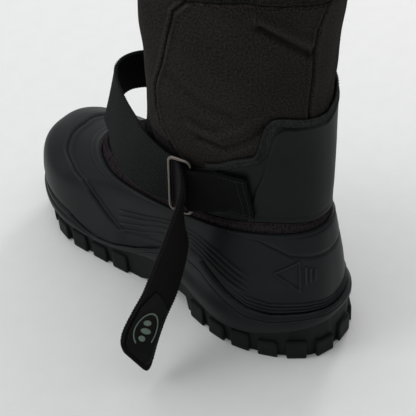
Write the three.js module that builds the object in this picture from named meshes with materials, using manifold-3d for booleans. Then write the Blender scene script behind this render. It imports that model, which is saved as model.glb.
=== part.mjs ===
// Snow boot for the left foot: lugged outsole, hollow rubber shell, hollow textile upper with a tall
// shaft, and an instep strap that runs through a wire ring on the outer side.
// Millimetres. +Z is up, the toe points along -Y and +X is the outer side of the foot. The origin
// lies on the floor under the middle of the heel.
import * as THREE from "three";
import { mergeVertices, mergeGeometries } from "three/addons/utils/BufferGeometryUtils.js";
import Module from "manifold-3d";

const wasm = await Module();
wasm.setup();

const bootHeight = 338;
const gap = 0.35;
const curvedGap = 0.6;
const shellWall = 3.0;
const fabricWall = 5.0;
const insoleThick = 5.0;
const counterThick = 2.0;
const bindingThick = 1.6;
const strapWidth = 44;
const strapThick = 2.2;
const tabThick = 1.8;
const ringWire = 2.6;
const ringHeight = 48.4;
const ringLength = 17;

const around = 60;
const stations = [0, 0.12, 0.3, 0.55, 0.8, 1];

// Each row is one closed loop round the foot. toe and back are its ends along Y; out and inn are its
// half widths on the outer and inner side at the toe, ball, waist and heel; z is its height at the
// tip, toe, ball, waist, heel and back; swing shifts its middle at the tip and at the ball; square
// is the exponent that rounds its ends.
const tread = { toe: -250, back: 36, out: [49, 49, 42, 48], inn: [42, 57, 44, 48],
  z: [0, 0, 0, 0, 0, 0], swing: [-14, -6], square: 0.74 };
const welt = { toe: -258, back: 37, out: [51, 51, 43, 50], inn: [44, 59, 45, 50],
  z: [30, 27, 21, 34, 21, 36], swing: [-14, -6], square: 0.74 };
const shellRows = [
  welt,
  { toe: -259, back: 37, out: [51, 51.5, 43, 50], inn: [44, 59.5, 45, 50],
    z: [36, 32, 25, 41, 32, 42], swing: [-14, -6], square: 0.74 },
  { toe: -257, back: 34.5, out: [50, 50.5, 41, 47], inn: [43, 58.5, 43, 47],
    z: [42, 37, 29, 47, 42, 48], swing: [-14, -6], square: 0.74 },
  { toe: -258, back: 34, out: [49, 49.5, 41, 46], inn: [43, 57.5, 43, 46],
    z: [56, 52, 45, 58, 56, 60], swing: [-13, -6], square: 0.76 },
  { toe: -254, back: 32.5, out: [46, 47, 41, 44], inn: [40, 53, 42, 44],
    z: [70, 67, 63, 72, 72, 78], swing: [-12, -5], square: 0.78 },
  { toe: -239, back: 30, out: [40, 44, 41, 41], inn: [33, 43, 40, 41],
    z: [78, 75, 74, 84, 90, 98], swing: [-10, -4], square: 0.82 },
  { toe: -212, back: 28, out: [34, 41, 40, 38], inn: [28, 39, 39, 38],
    z: [85, 82, 84, 93, 104, 112], swing: [-6, -3], square: 0.85 },
  { toe: -191, back: 26, out: [30, 38, 39, 36.5], inn: [28, 39, 39, 36.5],
    z: [91, 88, 91, 98, 110, 117], swing: [-3, -2], square: 0.86 },
];
const fabricRows = [
  { toe: -184, back: 25.5, out: [29, 36, 37, 34], inn: [27, 37, 37, 34],
    z: [103, 101, 101, 108, 122, 130], swing: [-3, -2], square: 0.86 },
  { toe: -162, back: 26, out: [30, 37, 39, 35], inn: [25, 36, 38, 35],
    z: [118, 116, 116, 124, 140, 150], swing: [-2, -1], square: 0.87 },
  { toe: -138, back: 26, out: [33, 42, 44, 38], inn: [27, 38, 42, 37],
    z: [139, 138, 138, 146, 164, 176], swing: [0, 0], square: 0.89 },
  { toe: -125, back: 25.5, out: [39, 49, 50, 42], inn: [34, 45, 47, 40],
    z: [172, 172, 173, 180, 196, 206], swing: [0, 0], square: 0.91 },
  { toe: -117, back: 27, out: [44, 55, 55, 46], inn: [40, 51, 51, 42],
    z: [216, 217, 219, 226, 236, 242], swing: [0, 0], square: 0.92 },
  { toe: -114, back: 29.5, out: [47, 58, 58, 48], inn: [43, 55, 54, 44],
    z: [264, 265, 266, 268, 272, 276], swing: [0, 0], square: 0.92 },
  { toe: -114, back: 34, out: [48, 59, 59, 49], inn: [44, 56, 56, 47],
    z: [305, 305, 305, 306, 308, 309], swing: [0, 0], square: 0.92 },
  { toe: -115, back: 39.5, out: [49, 60, 60, 50], inn: [45, 57, 57, 48],
    z: Array(6).fill(bootHeight), swing: [0, 0], square: 0.92 },
];
const bootRows = [...shellRows, ...fabricRows];
const rimLevel = shellRows.length - 1;
const topLevel = bootRows.length - 1;

// A smooth curve through (xs, ys) with finite difference slopes.
function smooth(xs, ys, x) {
  const last = xs.length - 1;
  const step = (i) => xs[i + 1] - xs[i];
  const rise = (i) => (ys[i + 1] - ys[i]) / step(i);
  const slope = (i) => {
    if (i === 0) return rise(0);
    if (i === last) return rise(last - 1);
    return (rise(i - 1) * step(i) + rise(i) * step(i - 1)) / (step(i) + step(i - 1));
  };
  let i = 0;
  while (i < last - 1 && x > xs[i + 1]) i += 1;
  const h = step(i);
  const t = (x - xs[i]) / h;
  const t2 = t * t;
  const t3 = t2 * t;
  return (2 * t3 - 3 * t2 + 1) * ys[i] + (t3 - 2 * t2 + t) * h * slope(i)
    + (3 * t2 - 2 * t3) * ys[i + 1] + (t3 - t2) * h * slope(i + 1);
}

// The point of a row at angle phi: 0 at the toe tip, half a turn at the heel's back.
function rowPoint(row, phi) {
  const c = Math.cos(phi);
  const s = Math.sin(phi);
  const along = (1 - c) / 2;
  const y = row.toe + (row.back - row.toe) * along;
  const half = s >= 0 ? row.out : row.inn;
  const round = (e) => (2 * Math.sqrt(e * (1 - e))) ** row.square;
  const scaled = half.map((w, i) => w / round(stations[i + 1]));
  const wide = smooth(stations, [scaled[0], ...scaled, scaled[3]], along);
  const middle = smooth([0, 0.3, 0.6, 1], [row.swing[0], row.swing[1], 0, 0], along);
  const x = middle + Math.sign(s) * wide * Math.abs(s) ** row.square;
  return new THREE.Vector3(x, y, smooth(stations, row.z, along));
}

// The boot's outer surface: level 0 is the welt, rimLevel the shell's rim and topLevel the collar.
function surfacePoint(phi, level) {
  const first = Math.min(Math.max(Math.floor(level) - 1, 0), topLevel - 3);
  const near = bootRows.slice(first, first + 4);
  const points = near.map((row) => rowPoint(row, phi));
  const axis = (name) => smooth([0, 1, 2, 3], points.map((p) => p[name]), level - first);
  return new THREE.Vector3(axis("x"), axis("y"), axis("z"));
}

// The same surface moved out (or in, when off is negative) along its normal.
function offsetPoint(phi, level, off) {
  const d = 0.03;
  const e = 0.06;
  const low = Math.max(0, level - e);
  const high = Math.min(topLevel, level + e);
  const across = surfacePoint(phi + d, level).sub(surfacePoint(phi - d, level));
  const up = surfacePoint(phi, high).sub(surfacePoint(phi, low));
  const normal = new THREE.Vector3().crossVectors(across, up).normalize();
  return surfacePoint(phi, level).addScaledVector(normal, off);
}


const angles = (n) => Array.from({ length: n }, (_, i) => (2 * Math.PI * i) / n);
const levels = (from, to, n) => Array.from({ length: n }, (_, i) => from + ((to - from) * i) / (n - 1));

// A geometry from loose triangles, welded and without normals.
function weld(points, triangles) {
  const geometry = new THREE.BufferGeometry();
  const numbers = points.flatMap((p) => [p.x, p.y, p.z]);
  geometry.setAttribute("position", new THREE.Float32BufferAttribute(numbers, 3));
  geometry.setIndex(triangles.flat());
  return mergeVertices(geometry, 1e-4);
}

// A ring of loops, each joined to the next and the last to the first.
function ringSolid(loops) {
  const n = loops[0].length;
  const triangles = [];
  loops.forEach((loop, j) => {
    const next = (j + 1) % loops.length;
    for (let i = 0; i < n; i += 1) {
      const k = (i + 1) % n;
      triangles.push([j * n + i, j * n + k, next * n + k], [j * n + i, next * n + k, next * n + i]);
    }
  });
  return weld(loops.flat(), triangles);
}

// A stack of loops, closed at both ends by strips across the foot.
function stackSolid(loops) {
  const n = loops[0].length;
  const triangles = [];
  for (let j = 0; j < loops.length - 1; j += 1) {
    for (let i = 0; i < n; i += 1) {
      const k = (i + 1) % n;
      triangles.push([j * n + i, j * n + k, (j + 1) * n + k], [j * n + i, (j + 1) * n + k, (j + 1) * n + i]);
    }
  }
  const cap = (base, flip) => {
    for (let i = 0; i < n / 2; i += 1) {
      const quad = [i, i + 1, (n - i - 1) % n, (n - i) % n].map((q) => base + (q % n));
      const faces = [[quad[0], quad[1], quad[2]], [quad[0], quad[2], quad[3]]];
      faces.filter((f) => new Set(f).size === 3).forEach((f) => triangles.push(flip ? [...f].reverse() : f));
    }
  };
  cap(0, true);
  cap((loops.length - 1) * n, false);
  return weld(loops.flat(), triangles);
}

// A curved sheet: grid(i, j, side) gives its points, side 0 on the inner and 1 on the outer face.
function sheetSolid(columns, rows, grid) {
  const points = [];
  const at = (i, j, side) => (side * columns + i) * rows + j;
  for (let side = 0; side < 2; side += 1) {
    for (let i = 0; i < columns; i += 1) {
      for (let j = 0; j < rows; j += 1) points.push(grid(i, j, side));
    }
  }
  const triangles = [];
  const quad = (a, b, c, d) => triangles.push([a, b, c], [a, c, d]);
  for (let i = 0; i < columns - 1; i += 1) {
    for (let j = 0; j < rows - 1; j += 1) {
      quad(at(i, j, 1), at(i + 1, j, 1), at(i + 1, j + 1, 1), at(i, j + 1, 1));
      quad(at(i, j + 1, 0), at(i + 1, j + 1, 0), at(i + 1, j, 0), at(i, j, 0));
    }
    quad(at(i, 0, 0), at(i + 1, 0, 0), at(i + 1, 0, 1), at(i, 0, 1));
    quad(at(i, rows - 1, 1), at(i + 1, rows - 1, 1), at(i + 1, rows - 1, 0), at(i, rows - 1, 0));
  }
  for (let j = 0; j < rows - 1; j += 1) {
    quad(at(0, j, 0), at(0, j, 1), at(0, j + 1, 1), at(0, j + 1, 0));
    quad(at(columns - 1, j, 1), at(columns - 1, j, 0), at(columns - 1, j + 1, 0), at(columns - 1, j + 1, 1));
  }
  return weld(points, triangles);
}

function toSolid(geometry) {
  const bare = new THREE.BufferGeometry();
  bare.setAttribute("position", geometry.getAttribute("position").clone());
  bare.setIndex(geometry.index ? geometry.index.clone() : null);
  const merged = mergeVertices(bare, 1e-4);
  const vertProperties = new Float32Array(merged.getAttribute("position").array);
  const triVerts = new Uint32Array(merged.index.array);
  return new wasm.Manifold(new wasm.Mesh({ numProp: 3, vertProperties, triVerts }));
}

function toGeometry(solid) {
  const mesh = solid.getMesh();
  const geometry = new THREE.BufferGeometry();
  geometry.setAttribute("position", new THREE.Float32BufferAttribute(mesh.vertProperties, 3));
  geometry.setIndex(new THREE.Uint32BufferAttribute(mesh.triVerts, 1));
  return geometry;
}

const group = new THREE.Group();

function addPart(name, geometry, color, roughness, metalness = 0) {
  const shaded = geometry.index ? geometry.toNonIndexed() : geometry;
  shaded.computeVertexNormals();
  const material = new THREE.MeshStandardMaterial({ color, roughness, metalness });
  const mesh = new THREE.Mesh(mergeVertices(shaded, 1e-4), material);
  mesh.name = name;
  group.add(mesh);
  return mesh;
}

// The outsole: side walls from the tread up to the welt, and a plug that fills the shell's bottom.
const plugInset = shellWall + gap;
const flare = 0.55;
const loopOf = (row, n = around) => angles(n).map((phi) => rowPoint(row, phi));

// The height of the sole's upper face, inside the shell, along the foot.
function footbed(y) {
  return smooth([-255, -215, -165, -95, -30, 40], [28, 25, 22, 33, 31, 32], y);
}

// A loop inside the welt, at a height over the sole's upper face.
function bedLoop(inset, lift, n = around) {
  const row = { ...welt, toe: welt.toe + inset, back: welt.back - inset, out: welt.out.map((w) => w - inset),
    inn: welt.inn.map((w) => w - inset) };
  return loopOf(row, n).map((p) => p.setZ(footbed(p.y) + lift));
}

const soleTop = { ...welt, z: welt.z.map((z) => z - gap) };
const weltLoop = loopOf(soleTop);
const flareLoop = loopOf(tread).map((p, i) => p.lerp(weltLoop[i], flare));
const plugFoot = bedLoop(plugInset, 0).map((p, i) => p.setZ(Math.min(p.z, weltLoop[i].z)));
const plugHead = bedLoop(plugInset + 0.6, 0.4);
const soleBlock = toSolid(stackSolid([loopOf(tread), flareLoop, weltLoop, plugFoot, plugHead]));

// A prism across the foot from an outline in the YZ plane.
function acrossPrism(outline, from, to) {
  const shape = new THREE.Shape(outline.map(([y, z]) => new THREE.Vector2(y, z)));
  const solid = new THREE.ExtrudeGeometry(shape, { depth: to - from, bevelEnabled: false, curveSegments: 8 });
  solid.applyMatrix4(new THREE.Matrix4().set(0, 0, 1, from, 1, 0, 0, 0, 0, 1, 0, 0, 0, 0, 0, 1));
  return toSolid(solid);
}

// A prism standing on the floor plane from an outline in the XY plane.
function uprightPrism(outline, from, to) {
  const shape = new THREE.Shape(outline.map(([x, y]) => new THREE.Vector2(x, y)));
  const solid = new THREE.ExtrudeGeometry(shape, { depth: to - from, bevelEnabled: false });
  solid.translate(0, 0, from);
  return toSolid(solid);
}

const heelBreast = -73;
const archFront = -126;
const archRise = 14;
const springStart = -200;
const springRise = 15;
const below = -5;
const archCut = acrossPrism([
  [heelBreast, below], [heelBreast - 2, archRise], [heelBreast - 16, archRise + 1],
  [archFront + 18, 8], [archFront, 0], [archFront - 4, below],
], -90, 90);
const springCut = acrossPrism([
  [springStart, 0], [springStart - 20, 2.2], [springStart - 38, 7], [-262, springRise + 2],
  [-262, below], [springStart, below],
], -90, 90);

const lugDeep = 8;
const lugGap = 5;
const heelGrooves = [-54, -33, -12, 9];
const foreGrooves = [-146, -166, -186, -206, -226];

// One transverse groove, bent backwards towards both sides, and a deeper notch at each of its ends.
function groove(y, lift, depth) {
  const half = lugGap / 2;
  const bar = uprightPrism([[-75, y - half - 5], [0, y - half + 1], [75, y - half - 5], [75, y + half - 5],
    [0, y + half + 1], [-75, y + half - 5]], below, lift + depth);
  return bar;
}

let sole = soleBlock.subtract(archCut).subtract(springCut);
heelGrooves.forEach((y) => { sole = sole.subtract(groove(y, 0, lugDeep)); });
foreGrooves.forEach((y) => {
  const lift = Math.max(0, (springStart - y) * 0.28);
  sole = sole.subtract(groove(y, lift, lugDeep));
});
addPart("outsole", toGeometry(sole), 0x24282a, 0.75);

// The shell: outer wall up to the rim, over the rim and down its inner wall.
const surfaceLoop = (level, off, n = around) => angles(n).map((phi) => offsetPoint(phi, level, off));
const shellLevels = levels(0, rimLevel, 14);
const shellLoops = shellLevels.map((v) => surfaceLoop(v, 0));
const shellLining = [7, 6.5, 6, 5, 4, 3, 2, 1, 0].map((v) => surfaceLoop(v, -shellWall));
addPart("shell", ringSolid([...shellLoops, ...shellLining]), 0x2e3335, 0.55);

// The insole lies on the sole's plug, inside the textile upper's lower edge.
const insoleInset = shellWall + gap + fabricWall + gap + 1.5;
const insoleLift = 0.4 + gap;
addPart("insole", stackSolid([
  bedLoop(insoleInset, insoleLift, 48), bedLoop(insoleInset + 1, insoleLift + insoleThick, 48),
]), 0x8b8a86, 0.95);

// The textile upper: it starts inside the shell, comes out at the rim and rises to the collar.
const textileOff = -(shellWall + curvedGap);
const textileLevels = [3, 4, 5, 6, 6.5, 7, 7.5, 8, 8.5, 9, 9.5, 10, 10.5, 11, 12, 13, 14, topLevel];
const liningLevels = [topLevel, 14, 13, 12, 11, 10.5, 10, 9.5, 9, 8.5, 8, 7, 6, 5, 4, 3];
addPart("textile_upper", ringSolid([
  ...textileLevels.map((v) => surfaceLoop(v, textileOff)),
  ...liningLevels.map((v) => surfaceLoop(v, textileOff - fabricWall)),
]), 0x3a3634, 0.9);

// The height along the boot's surface of a table of [degrees round the foot, height] columns.
const heightAt = (table, degrees) => {
  const folded = Math.min(degrees, 360 - degrees);
  return smooth(table.map((row) => row[0]), table.map((row) => row[1]), folded);
};

// The level at which the surface has a height, at one angle.
function levelAt(phi, z) {
  let low = rimLevel - 2;
  let high = topLevel;
  for (let i = 0; i < 24; i += 1) {
    const middle = (low + high) / 2;
    if (surfacePoint(phi, middle).z < z) low = middle;
    else high = middle;
  }
  return low;
}

const skinPoint = (phi, z, off) => offsetPoint(phi, levelAt(phi, z), off);

// The same for a place along the foot, on the outer side (+1) or the inner side (-1).
function sidePoint(side, y, z, off) {
  let low = 0.2;
  let high = Math.PI - 0.2;
  for (let i = 0; i < 24; i += 1) {
    const middle = (low + high) / 2;
    if (skinPoint(side * middle, z, off).y < y) low = middle;
    else high = middle;
  }
  return skinPoint(side * low, z, off);
}

// The binding: a woven tape sewn round the textile upper just above the shell's rim.
const overlayOff = textileOff + curvedGap;
const bindingTop = [[0, 103], [40, 101], [70, 99.5], [94, 103.4], [108, 109.5], [124, 117],
  [136, 122], [149, 124], [163, 124], [180, 124.5]];
const bindingFoot = rimLevel + 0.045;
const turn = Math.PI / 180;
const bindingEdge = (off, low) => angles(around).map((phi) => (
  low ? offsetPoint(phi, bindingFoot, off) : skinPoint(phi, heightAt(bindingTop, phi / turn), off)));
const bindingOut = overlayOff + bindingThick;
addPart("rim_binding", ringSolid([
  bindingEdge(bindingOut, true), bindingEdge(bindingOut, false),
  bindingEdge(overlayOff, false), bindingEdge(overlayOff, true),
]), 0x33292e, 0.95);

// The heel counter wraps the back of the upper above the binding, from one side to the other.
const counterTop = [[96, 168], [102, 171], [108, 175.5], [114, 181], [120, 185], [126, 188.5],
  [132, 209], [138, 223], [144, 223.5], [150, 222], [156, 220], [168, 216], [180, 214]];
const counterAngles = Array.from({ length: 29 }, (_, i) => 96 + i * 6);
const counterRows = 9;
addPart("heel_counter", sheetSolid(counterAngles.length, counterRows, (i, j, side) => {
  const degrees = counterAngles[i];
  const low = heightAt(bindingTop, degrees) + gap;
  const high = heightAt(counterTop, degrees);
  const z = low + ((high - low) * j) / (counterRows - 1);
  return skinPoint(degrees * turn, z, overlayOff + side * counterThick);
}), 0x343b3b, 0.6);

// The ring: a rounded rectangle of wire that stands upright on the outer side.
const ringCentre = new THREE.Vector3(50.6, -64.6, 140.2);
const ringDown = new THREE.Vector3(0.03, -0.03, -1).normalize();
const ringFace = new THREE.Vector3().crossVectors(ringDown, new THREE.Vector3(-0.2, 1, 0)).normalize();
const ringBack = new THREE.Vector3().crossVectors(ringFace, ringDown);
const ringCorner = 4;
const onRing = (along, down) => ringCentre.clone()
  .addScaledVector(ringBack, along).addScaledVector(ringDown, down);

function ringLoops() {
  const corners = [[1, 1], [-1, 1], [-1, -1], [1, -1]];
  return corners.flatMap(([u, v], corner) => [0, 30, 60, 90].map((bend) => {
    const angle = (corner * 90 + bend) * turn;
    const out = onRing(Math.cos(angle), Math.sin(angle)).sub(ringCentre);
    const middle = onRing(u * (ringLength / 2 - ringCorner), v * (ringHeight / 2 - ringCorner))
      .addScaledVector(out, ringCorner);
    return angles(8).map((a) => middle.clone().addScaledVector(out, Math.cos(a) * ringWire / 2)
      .addScaledVector(ringFace, Math.sin(a) * ringWire / 2));
  }));
}
addPart("strap_ring", ringSolid(ringLoops()), 0x8c8078, 0.35, 0.9);

// The ring's tab: webbing sewn on the counter, folded round the ring's rear bar.
const rodSolid = (from, to, radius) => {
  const rod = new THREE.CylinderGeometry(radius, radius, from.distanceTo(to), 12);
  rod.applyQuaternion(new THREE.Quaternion().setFromUnitVectors(
    new THREE.Vector3(0, 1, 0), to.clone().sub(from).normalize()));
  rod.translate(...from.clone().add(to).multiplyScalar(0.5));
  return toSolid(rod);
};
const tabFree = ringHeight / 2 - ringCorner - 1;
const tabSew = -30;
const tabEnd = -11;
const tabSpan = { low: 126, high: 168.5 };
const barPoint = (share) => onRing(ringLength / 2, tabFree * (1 - 2 * share));
const tabStops = [0, 0.5, 1, 1.35, 1.7, 2];
const tabPlate = toSolid(sheetSolid(tabStops.length, 6, (i, j, side) => {
  const share = j / 5;
  const z = tabSpan.low + (tabSpan.high - tabSpan.low) * share;
  const stop = tabStops[i];
  const off = overlayOff + counterThick + curvedGap + side * tabThick;
  const sewn = sidePoint(1, tabSew + Math.max(0, stop - 1) * (tabEnd - tabSew), z, off);
  if (stop >= 1) return sewn;
  const bar = barPoint(share);
  bar.x += (side - 0.5) * tabThick;
  return bar.lerp(sewn, stop);
}));
const rollWall = 1.5;
const rollBore = ringWire / 2 + gap;
const roll = rodSolid(barPoint(0), barPoint(1), rollBore + rollWall);
const bore = rodSolid(barPoint(-0.1), barPoint(1.1), rollBore);
addPart("ring_tab", toGeometry(tabPlate.add(roll).subtract(bore)), 0x2a2a2a, 0.9);

// The strap, from its sewn end on the inner side over the instep, inside the ring's front bar, out of
// the ring and down to the tail's end. up and low are points of its two edges.
const strapRows = [
  { up: [-46, -84, 163], low: [-44, -85, 119] },
  { up: [-46, -108, 165], low: [-47, -110, 121] },
  { up: [-43, -130, 167], low: [-46, -135, 123] },
  { up: [-37, -151, 168], low: [-40, -164, 125] },
  { up: [-29, -167, 168], low: [-27, -181, 125] },
  { up: [-17, -174, 168], low: [-12, -183, 124.5] },
  { up: [-5, -173, 168], low: [2, -179, 124] },
  { up: [6, -164, 168], low: [14, -174, 124] },
  { up: [15, -152, 168], low: [23, -162, 124] },
  { up: [23, -138, 166], low: [35, -148, 123] },
  { up: [31, -122, 165], low: [46, -132, 123] },
  { up: [39.5, -107, 164], low: [53, -113, 122] },
  { up: [45, -90, 163], low: [54, -93, 120] },
  { up: [47.5, -78, 162.4], low: [50.5, -79, 118.4] },
  { up: [48.4, -71.5, 162.2], low: [49.4, -73, 118.2] },
  { up: [50, -66, 162.2], low: [51.5, -67, 118.2] },
  { up: [54, -60.5, 161.6], low: [56, -62, 118] },
  { up: [59, -55, 157.5], low: [58, -59, 113.5] },
  { up: [66, -51, 150], low: [58, -57.5, 107] },
  { up: [76, -50, 137], low: [56.5, -57, 99] },
  { up: [86, -52, 118], low: [56, -57.5, 88] },
  { up: [95, -56, 98], low: [60, -58.5, 71] },
  { up: [104, -59, 80.5], low: [69.5, -59, 50.5] },
  { up: [113.5, -61.5, 67], low: [84.5, -59.5, 34.5] },
  { up: [125.5, -61.5, 57.5], low: [99, -56, 21.5] },
  { up: [132.8, -57.7, 48.7], low: [115.2, -50.8, 9] },
];
const sewnStops = [-24, -37, -50, -64];
const strapOff = overlayOff + counterThick + 2 * curvedGap + strapThick / 2;
const sewnRows = sewnStops.map((y) => ({
  up: sidePoint(-1, y, 163, strapOff).toArray(), low: sidePoint(-1, y, 119, strapOff).toArray(),
}));
const ribbonRows = [...sewnRows, ...strapRows];
const ribbonSteps = 2;

function edgePoint(name, t) {
  const i = Math.min(Math.floor(t), ribbonRows.length - 2);
  const last = ribbonRows.length - 1;
  const near = [-1, 0, 1, 2].map((k) => ribbonRows[Math.min(Math.max(i + k, 0), last)][name]);
  const onAxis = (axis) => smooth([-1, 0, 1, 2], near.map((p) => p[axis]), t - i);
  return new THREE.Vector3(onAxis(0), onAxis(1), onAxis(2));
}

// A point of the strap: t rows along it, share across it (0 low, 1 up), off along its outer normal.
function strapPoint(t, share, off) {
  const up = edgePoint("up", t);
  const low = edgePoint("low", t);
  const middle = up.clone().add(low).multiplyScalar(0.5);
  const across = up.clone().sub(low).normalize();
  const t0 = Math.max(0, t - 0.1);
  const t1 = Math.min(ribbonRows.length - 1, t + 0.1);
  const along = edgePoint("up", t1).add(edgePoint("low", t1))
    .sub(edgePoint("up", t0)).sub(edgePoint("low", t0));
  const normal = new THREE.Vector3().crossVectors(along, across).normalize();
  return middle.addScaledVector(across, (share - 0.5) * strapWidth).addScaledVector(normal, off);
}

const ribbonCount = (ribbonRows.length - 1) * ribbonSteps + 1;
addPart("instep_strap", sheetSolid(ribbonCount, 3, (i, j, side) => (
  strapPoint(i / ribbonSteps, j / 2, (side - 0.5) * strapThick))), 0x2b3130, 0.9);

export default group;
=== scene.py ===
import bpy
import math
import numpy as np
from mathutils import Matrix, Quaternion, Vector


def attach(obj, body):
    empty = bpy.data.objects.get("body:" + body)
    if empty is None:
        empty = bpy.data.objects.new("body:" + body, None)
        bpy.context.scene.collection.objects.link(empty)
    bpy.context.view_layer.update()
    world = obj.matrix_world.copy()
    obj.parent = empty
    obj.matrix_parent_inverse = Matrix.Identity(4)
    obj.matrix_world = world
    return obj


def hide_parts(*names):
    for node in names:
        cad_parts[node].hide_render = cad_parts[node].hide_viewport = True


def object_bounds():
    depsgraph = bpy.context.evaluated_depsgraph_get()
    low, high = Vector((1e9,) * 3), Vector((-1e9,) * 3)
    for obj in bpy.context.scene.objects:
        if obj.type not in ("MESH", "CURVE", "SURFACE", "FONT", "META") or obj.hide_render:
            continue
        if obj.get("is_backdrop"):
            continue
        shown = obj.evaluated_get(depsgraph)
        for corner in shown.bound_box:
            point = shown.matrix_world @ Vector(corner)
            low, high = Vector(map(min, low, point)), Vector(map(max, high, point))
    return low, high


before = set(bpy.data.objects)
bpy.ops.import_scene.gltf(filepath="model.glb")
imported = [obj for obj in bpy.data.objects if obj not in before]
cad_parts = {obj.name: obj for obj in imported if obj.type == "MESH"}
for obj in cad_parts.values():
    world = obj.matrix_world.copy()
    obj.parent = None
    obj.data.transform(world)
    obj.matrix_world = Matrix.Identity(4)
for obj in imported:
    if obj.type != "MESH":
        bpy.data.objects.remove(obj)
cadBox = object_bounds()
scene = bpy.context.scene
print("frame loaded:", ", ".join(sorted(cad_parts)))

mm = 0.001
turn = math.pi / 180

# camera, room and light

cameraSet = {
    "azimuth": 130.32, "elevation": 38.19, "roll": -2.79, "distance": 0.96883,
    "target": (-0.08494, -0.1287, 0.1), "sensor": 36.0, "lens": 102.28, "shift": (-0.0564, -0.2583),
    "clip": (0.05, 30),
}


def placeCamera(s):
    data = bpy.data.cameras.new("view")
    data.sensor_width = s["sensor"]
    data.lens = s["lens"]
    data.shift_x, data.shift_y = s["shift"]
    data.clip_start, data.clip_end = s["clip"]
    camera = bpy.data.objects.new("view", data)
    scene.collection.objects.link(camera)
    a, e = s["azimuth"] * turn, s["elevation"] * turn
    back = Vector((math.sin(a) * math.cos(e), -math.cos(a) * math.cos(e), math.sin(e)))
    camera.location = Vector(s["target"]) + back * s["distance"]
    camera.rotation_mode = "QUATERNION"
    roll = Quaternion((0, 0, 1), s["roll"] * turn)
    camera.rotation_quaternion = (-back).to_track_quat("-Z", "Y") @ roll
    scene.camera = camera


placeCamera(cameraSet)

lightSet = {
    "aim": (0, -0.1, 0.08),
    "lamps": [
        {"name": "keySoft", "at": (2.9, -2.6, 3.3), "size": 2.4, "power": 44, "tint": (1.0, 0.995, 0.985)},
        {"name": "topSoft", "at": (0.3, -0.8, 3.4), "size": 2.2, "power": 16, "tint": (0.98, 0.99, 1.0)},
        {"name": "rimSoft", "at": (-1.7, -0.5, 0.9), "size": 0.5, "power": 9, "tint": (1.0, 0.93, 0.91)},
    ],
}


def placeLights(s):
    for given in s["lamps"]:
        data = bpy.data.lights.new(given["name"], "AREA")
        data.shape = "DISK"
        data.size = given["size"]
        data.energy = given["power"]
        data.color = given["tint"]
        lamp = bpy.data.objects.new(given["name"], data)
        scene.collection.objects.link(lamp)
        lamp.location = given["at"]
        lamp.rotation_mode = "QUATERNION"
        lamp.rotation_quaternion = (Vector(s["aim"]) - lamp.location).to_track_quat("-Z", "Y")


placeLights(lightSet)

# the room brightens towards one side; "seen" is the even grey beyond the floor's edge
roomSet = {"towards": (-0.3, -0.4, 0.87), "range": (-0.3, 1.0), "dark": 0.1, "bright": 0.84, "seen": 0.72,
           "tint": (0.985, 0.995, 1.0, 1)}


def buildRoom(s):
    world = bpy.data.worlds.new("paleRoom")
    world.use_nodes = True
    nodes, link = world.node_tree.nodes, world.node_tree.links.new
    background = nodes["Background"]
    background.inputs["Color"].default_value = s["tint"]
    place = nodes.new("ShaderNodeTexCoord")
    towards = nodes.new("ShaderNodeVectorMath")
    towards.operation = "DOT_PRODUCT"
    towards.inputs[1].default_value = s["towards"]
    shade = nodes.new("ShaderNodeMapRange")
    shade.inputs["From Min"].default_value, shade.inputs["From Max"].default_value = s["range"]
    shade.inputs["To Min"].default_value = s["dark"]
    shade.inputs["To Max"].default_value = s["bright"]
    ray = nodes.new("ShaderNodeLightPath")
    mix = nodes.new("ShaderNodeMix")
    mix.inputs["B"].default_value = s["seen"]
    link(place.outputs["Generated"], towards.inputs[0])
    link(towards.outputs["Value"], shade.inputs["Value"])
    link(ray.outputs["Is Camera Ray"], mix.inputs["Factor"])
    link(shade.outputs["Result"], mix.inputs["A"])
    link(mix.outputs["Result"], background.inputs["Strength"])
    scene.world = world


buildRoom(roomSet)
scene.view_settings.view_transform = "Standard"
print("camera and lights set")


# materials

def newMaterial(name, base, rough, metal=0.0, specular=0.5):
    mat = bpy.data.materials.new(name)
    mat.use_nodes = True
    shader = mat.node_tree.nodes["Principled BSDF"]
    shader.inputs["Base Color"].default_value = (*base, 1)
    shader.inputs["Roughness"].default_value = rough
    shader.inputs["Metallic"].default_value = metal
    shader.inputs["Specular IOR Level"].default_value = specular
    return mat, mat.node_tree, shader


def node(tree, kind, **values):
    made = tree.nodes.new(kind)
    for key, value in values.items():
        setattr(made, key, value)
    return made


def coords(tree, output, scale):
    place = node(tree, "ShaderNodeTexCoord")
    mapping = node(tree, "ShaderNodeMapping")
    mapping.inputs["Scale"].default_value = scale
    tree.links.new(place.outputs[output], mapping.inputs["Vector"])
    return mapping.outputs["Vector"]


def noiseOf(tree, vector, scale, detail=4.0, roughness=0.6):
    noise = node(tree, "ShaderNodeTexNoise")
    noise.inputs["Scale"].default_value = scale
    noise.inputs["Detail"].default_value = detail
    noise.inputs["Roughness"].default_value = roughness
    tree.links.new(vector, noise.inputs["Vector"])
    return noise.outputs["Fac"]


def rampOf(tree, factor, stops):
    ramp = node(tree, "ShaderNodeValToRGB")
    while len(ramp.color_ramp.elements) < len(stops):
        ramp.color_ramp.elements.new(0.5)
    for element, (place, colour) in zip(ramp.color_ramp.elements, stops):
        element.position = place
        element.color = (*colour, 1)
    tree.links.new(factor, ramp.inputs["Fac"])
    return ramp.outputs["Color"]


def mathOf(tree, kind, *values):
    made = node(tree, "ShaderNodeMath", operation=kind)
    for i, value in enumerate(values):
        if isinstance(value, (int, float)):
            made.inputs[i].default_value = value
        else:
            tree.links.new(value, made.inputs[i])
    return made.outputs[0]


def bumpOf(tree, shader, height, strength, distance):
    bump = node(tree, "ShaderNodeBump")
    bump.inputs["Strength"].default_value = strength
    bump.inputs["Distance"].default_value = distance
    tree.links.new(height, bump.inputs["Height"])
    tree.links.new(bump.outputs["Normal"], shader.inputs["Normal"])


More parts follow.
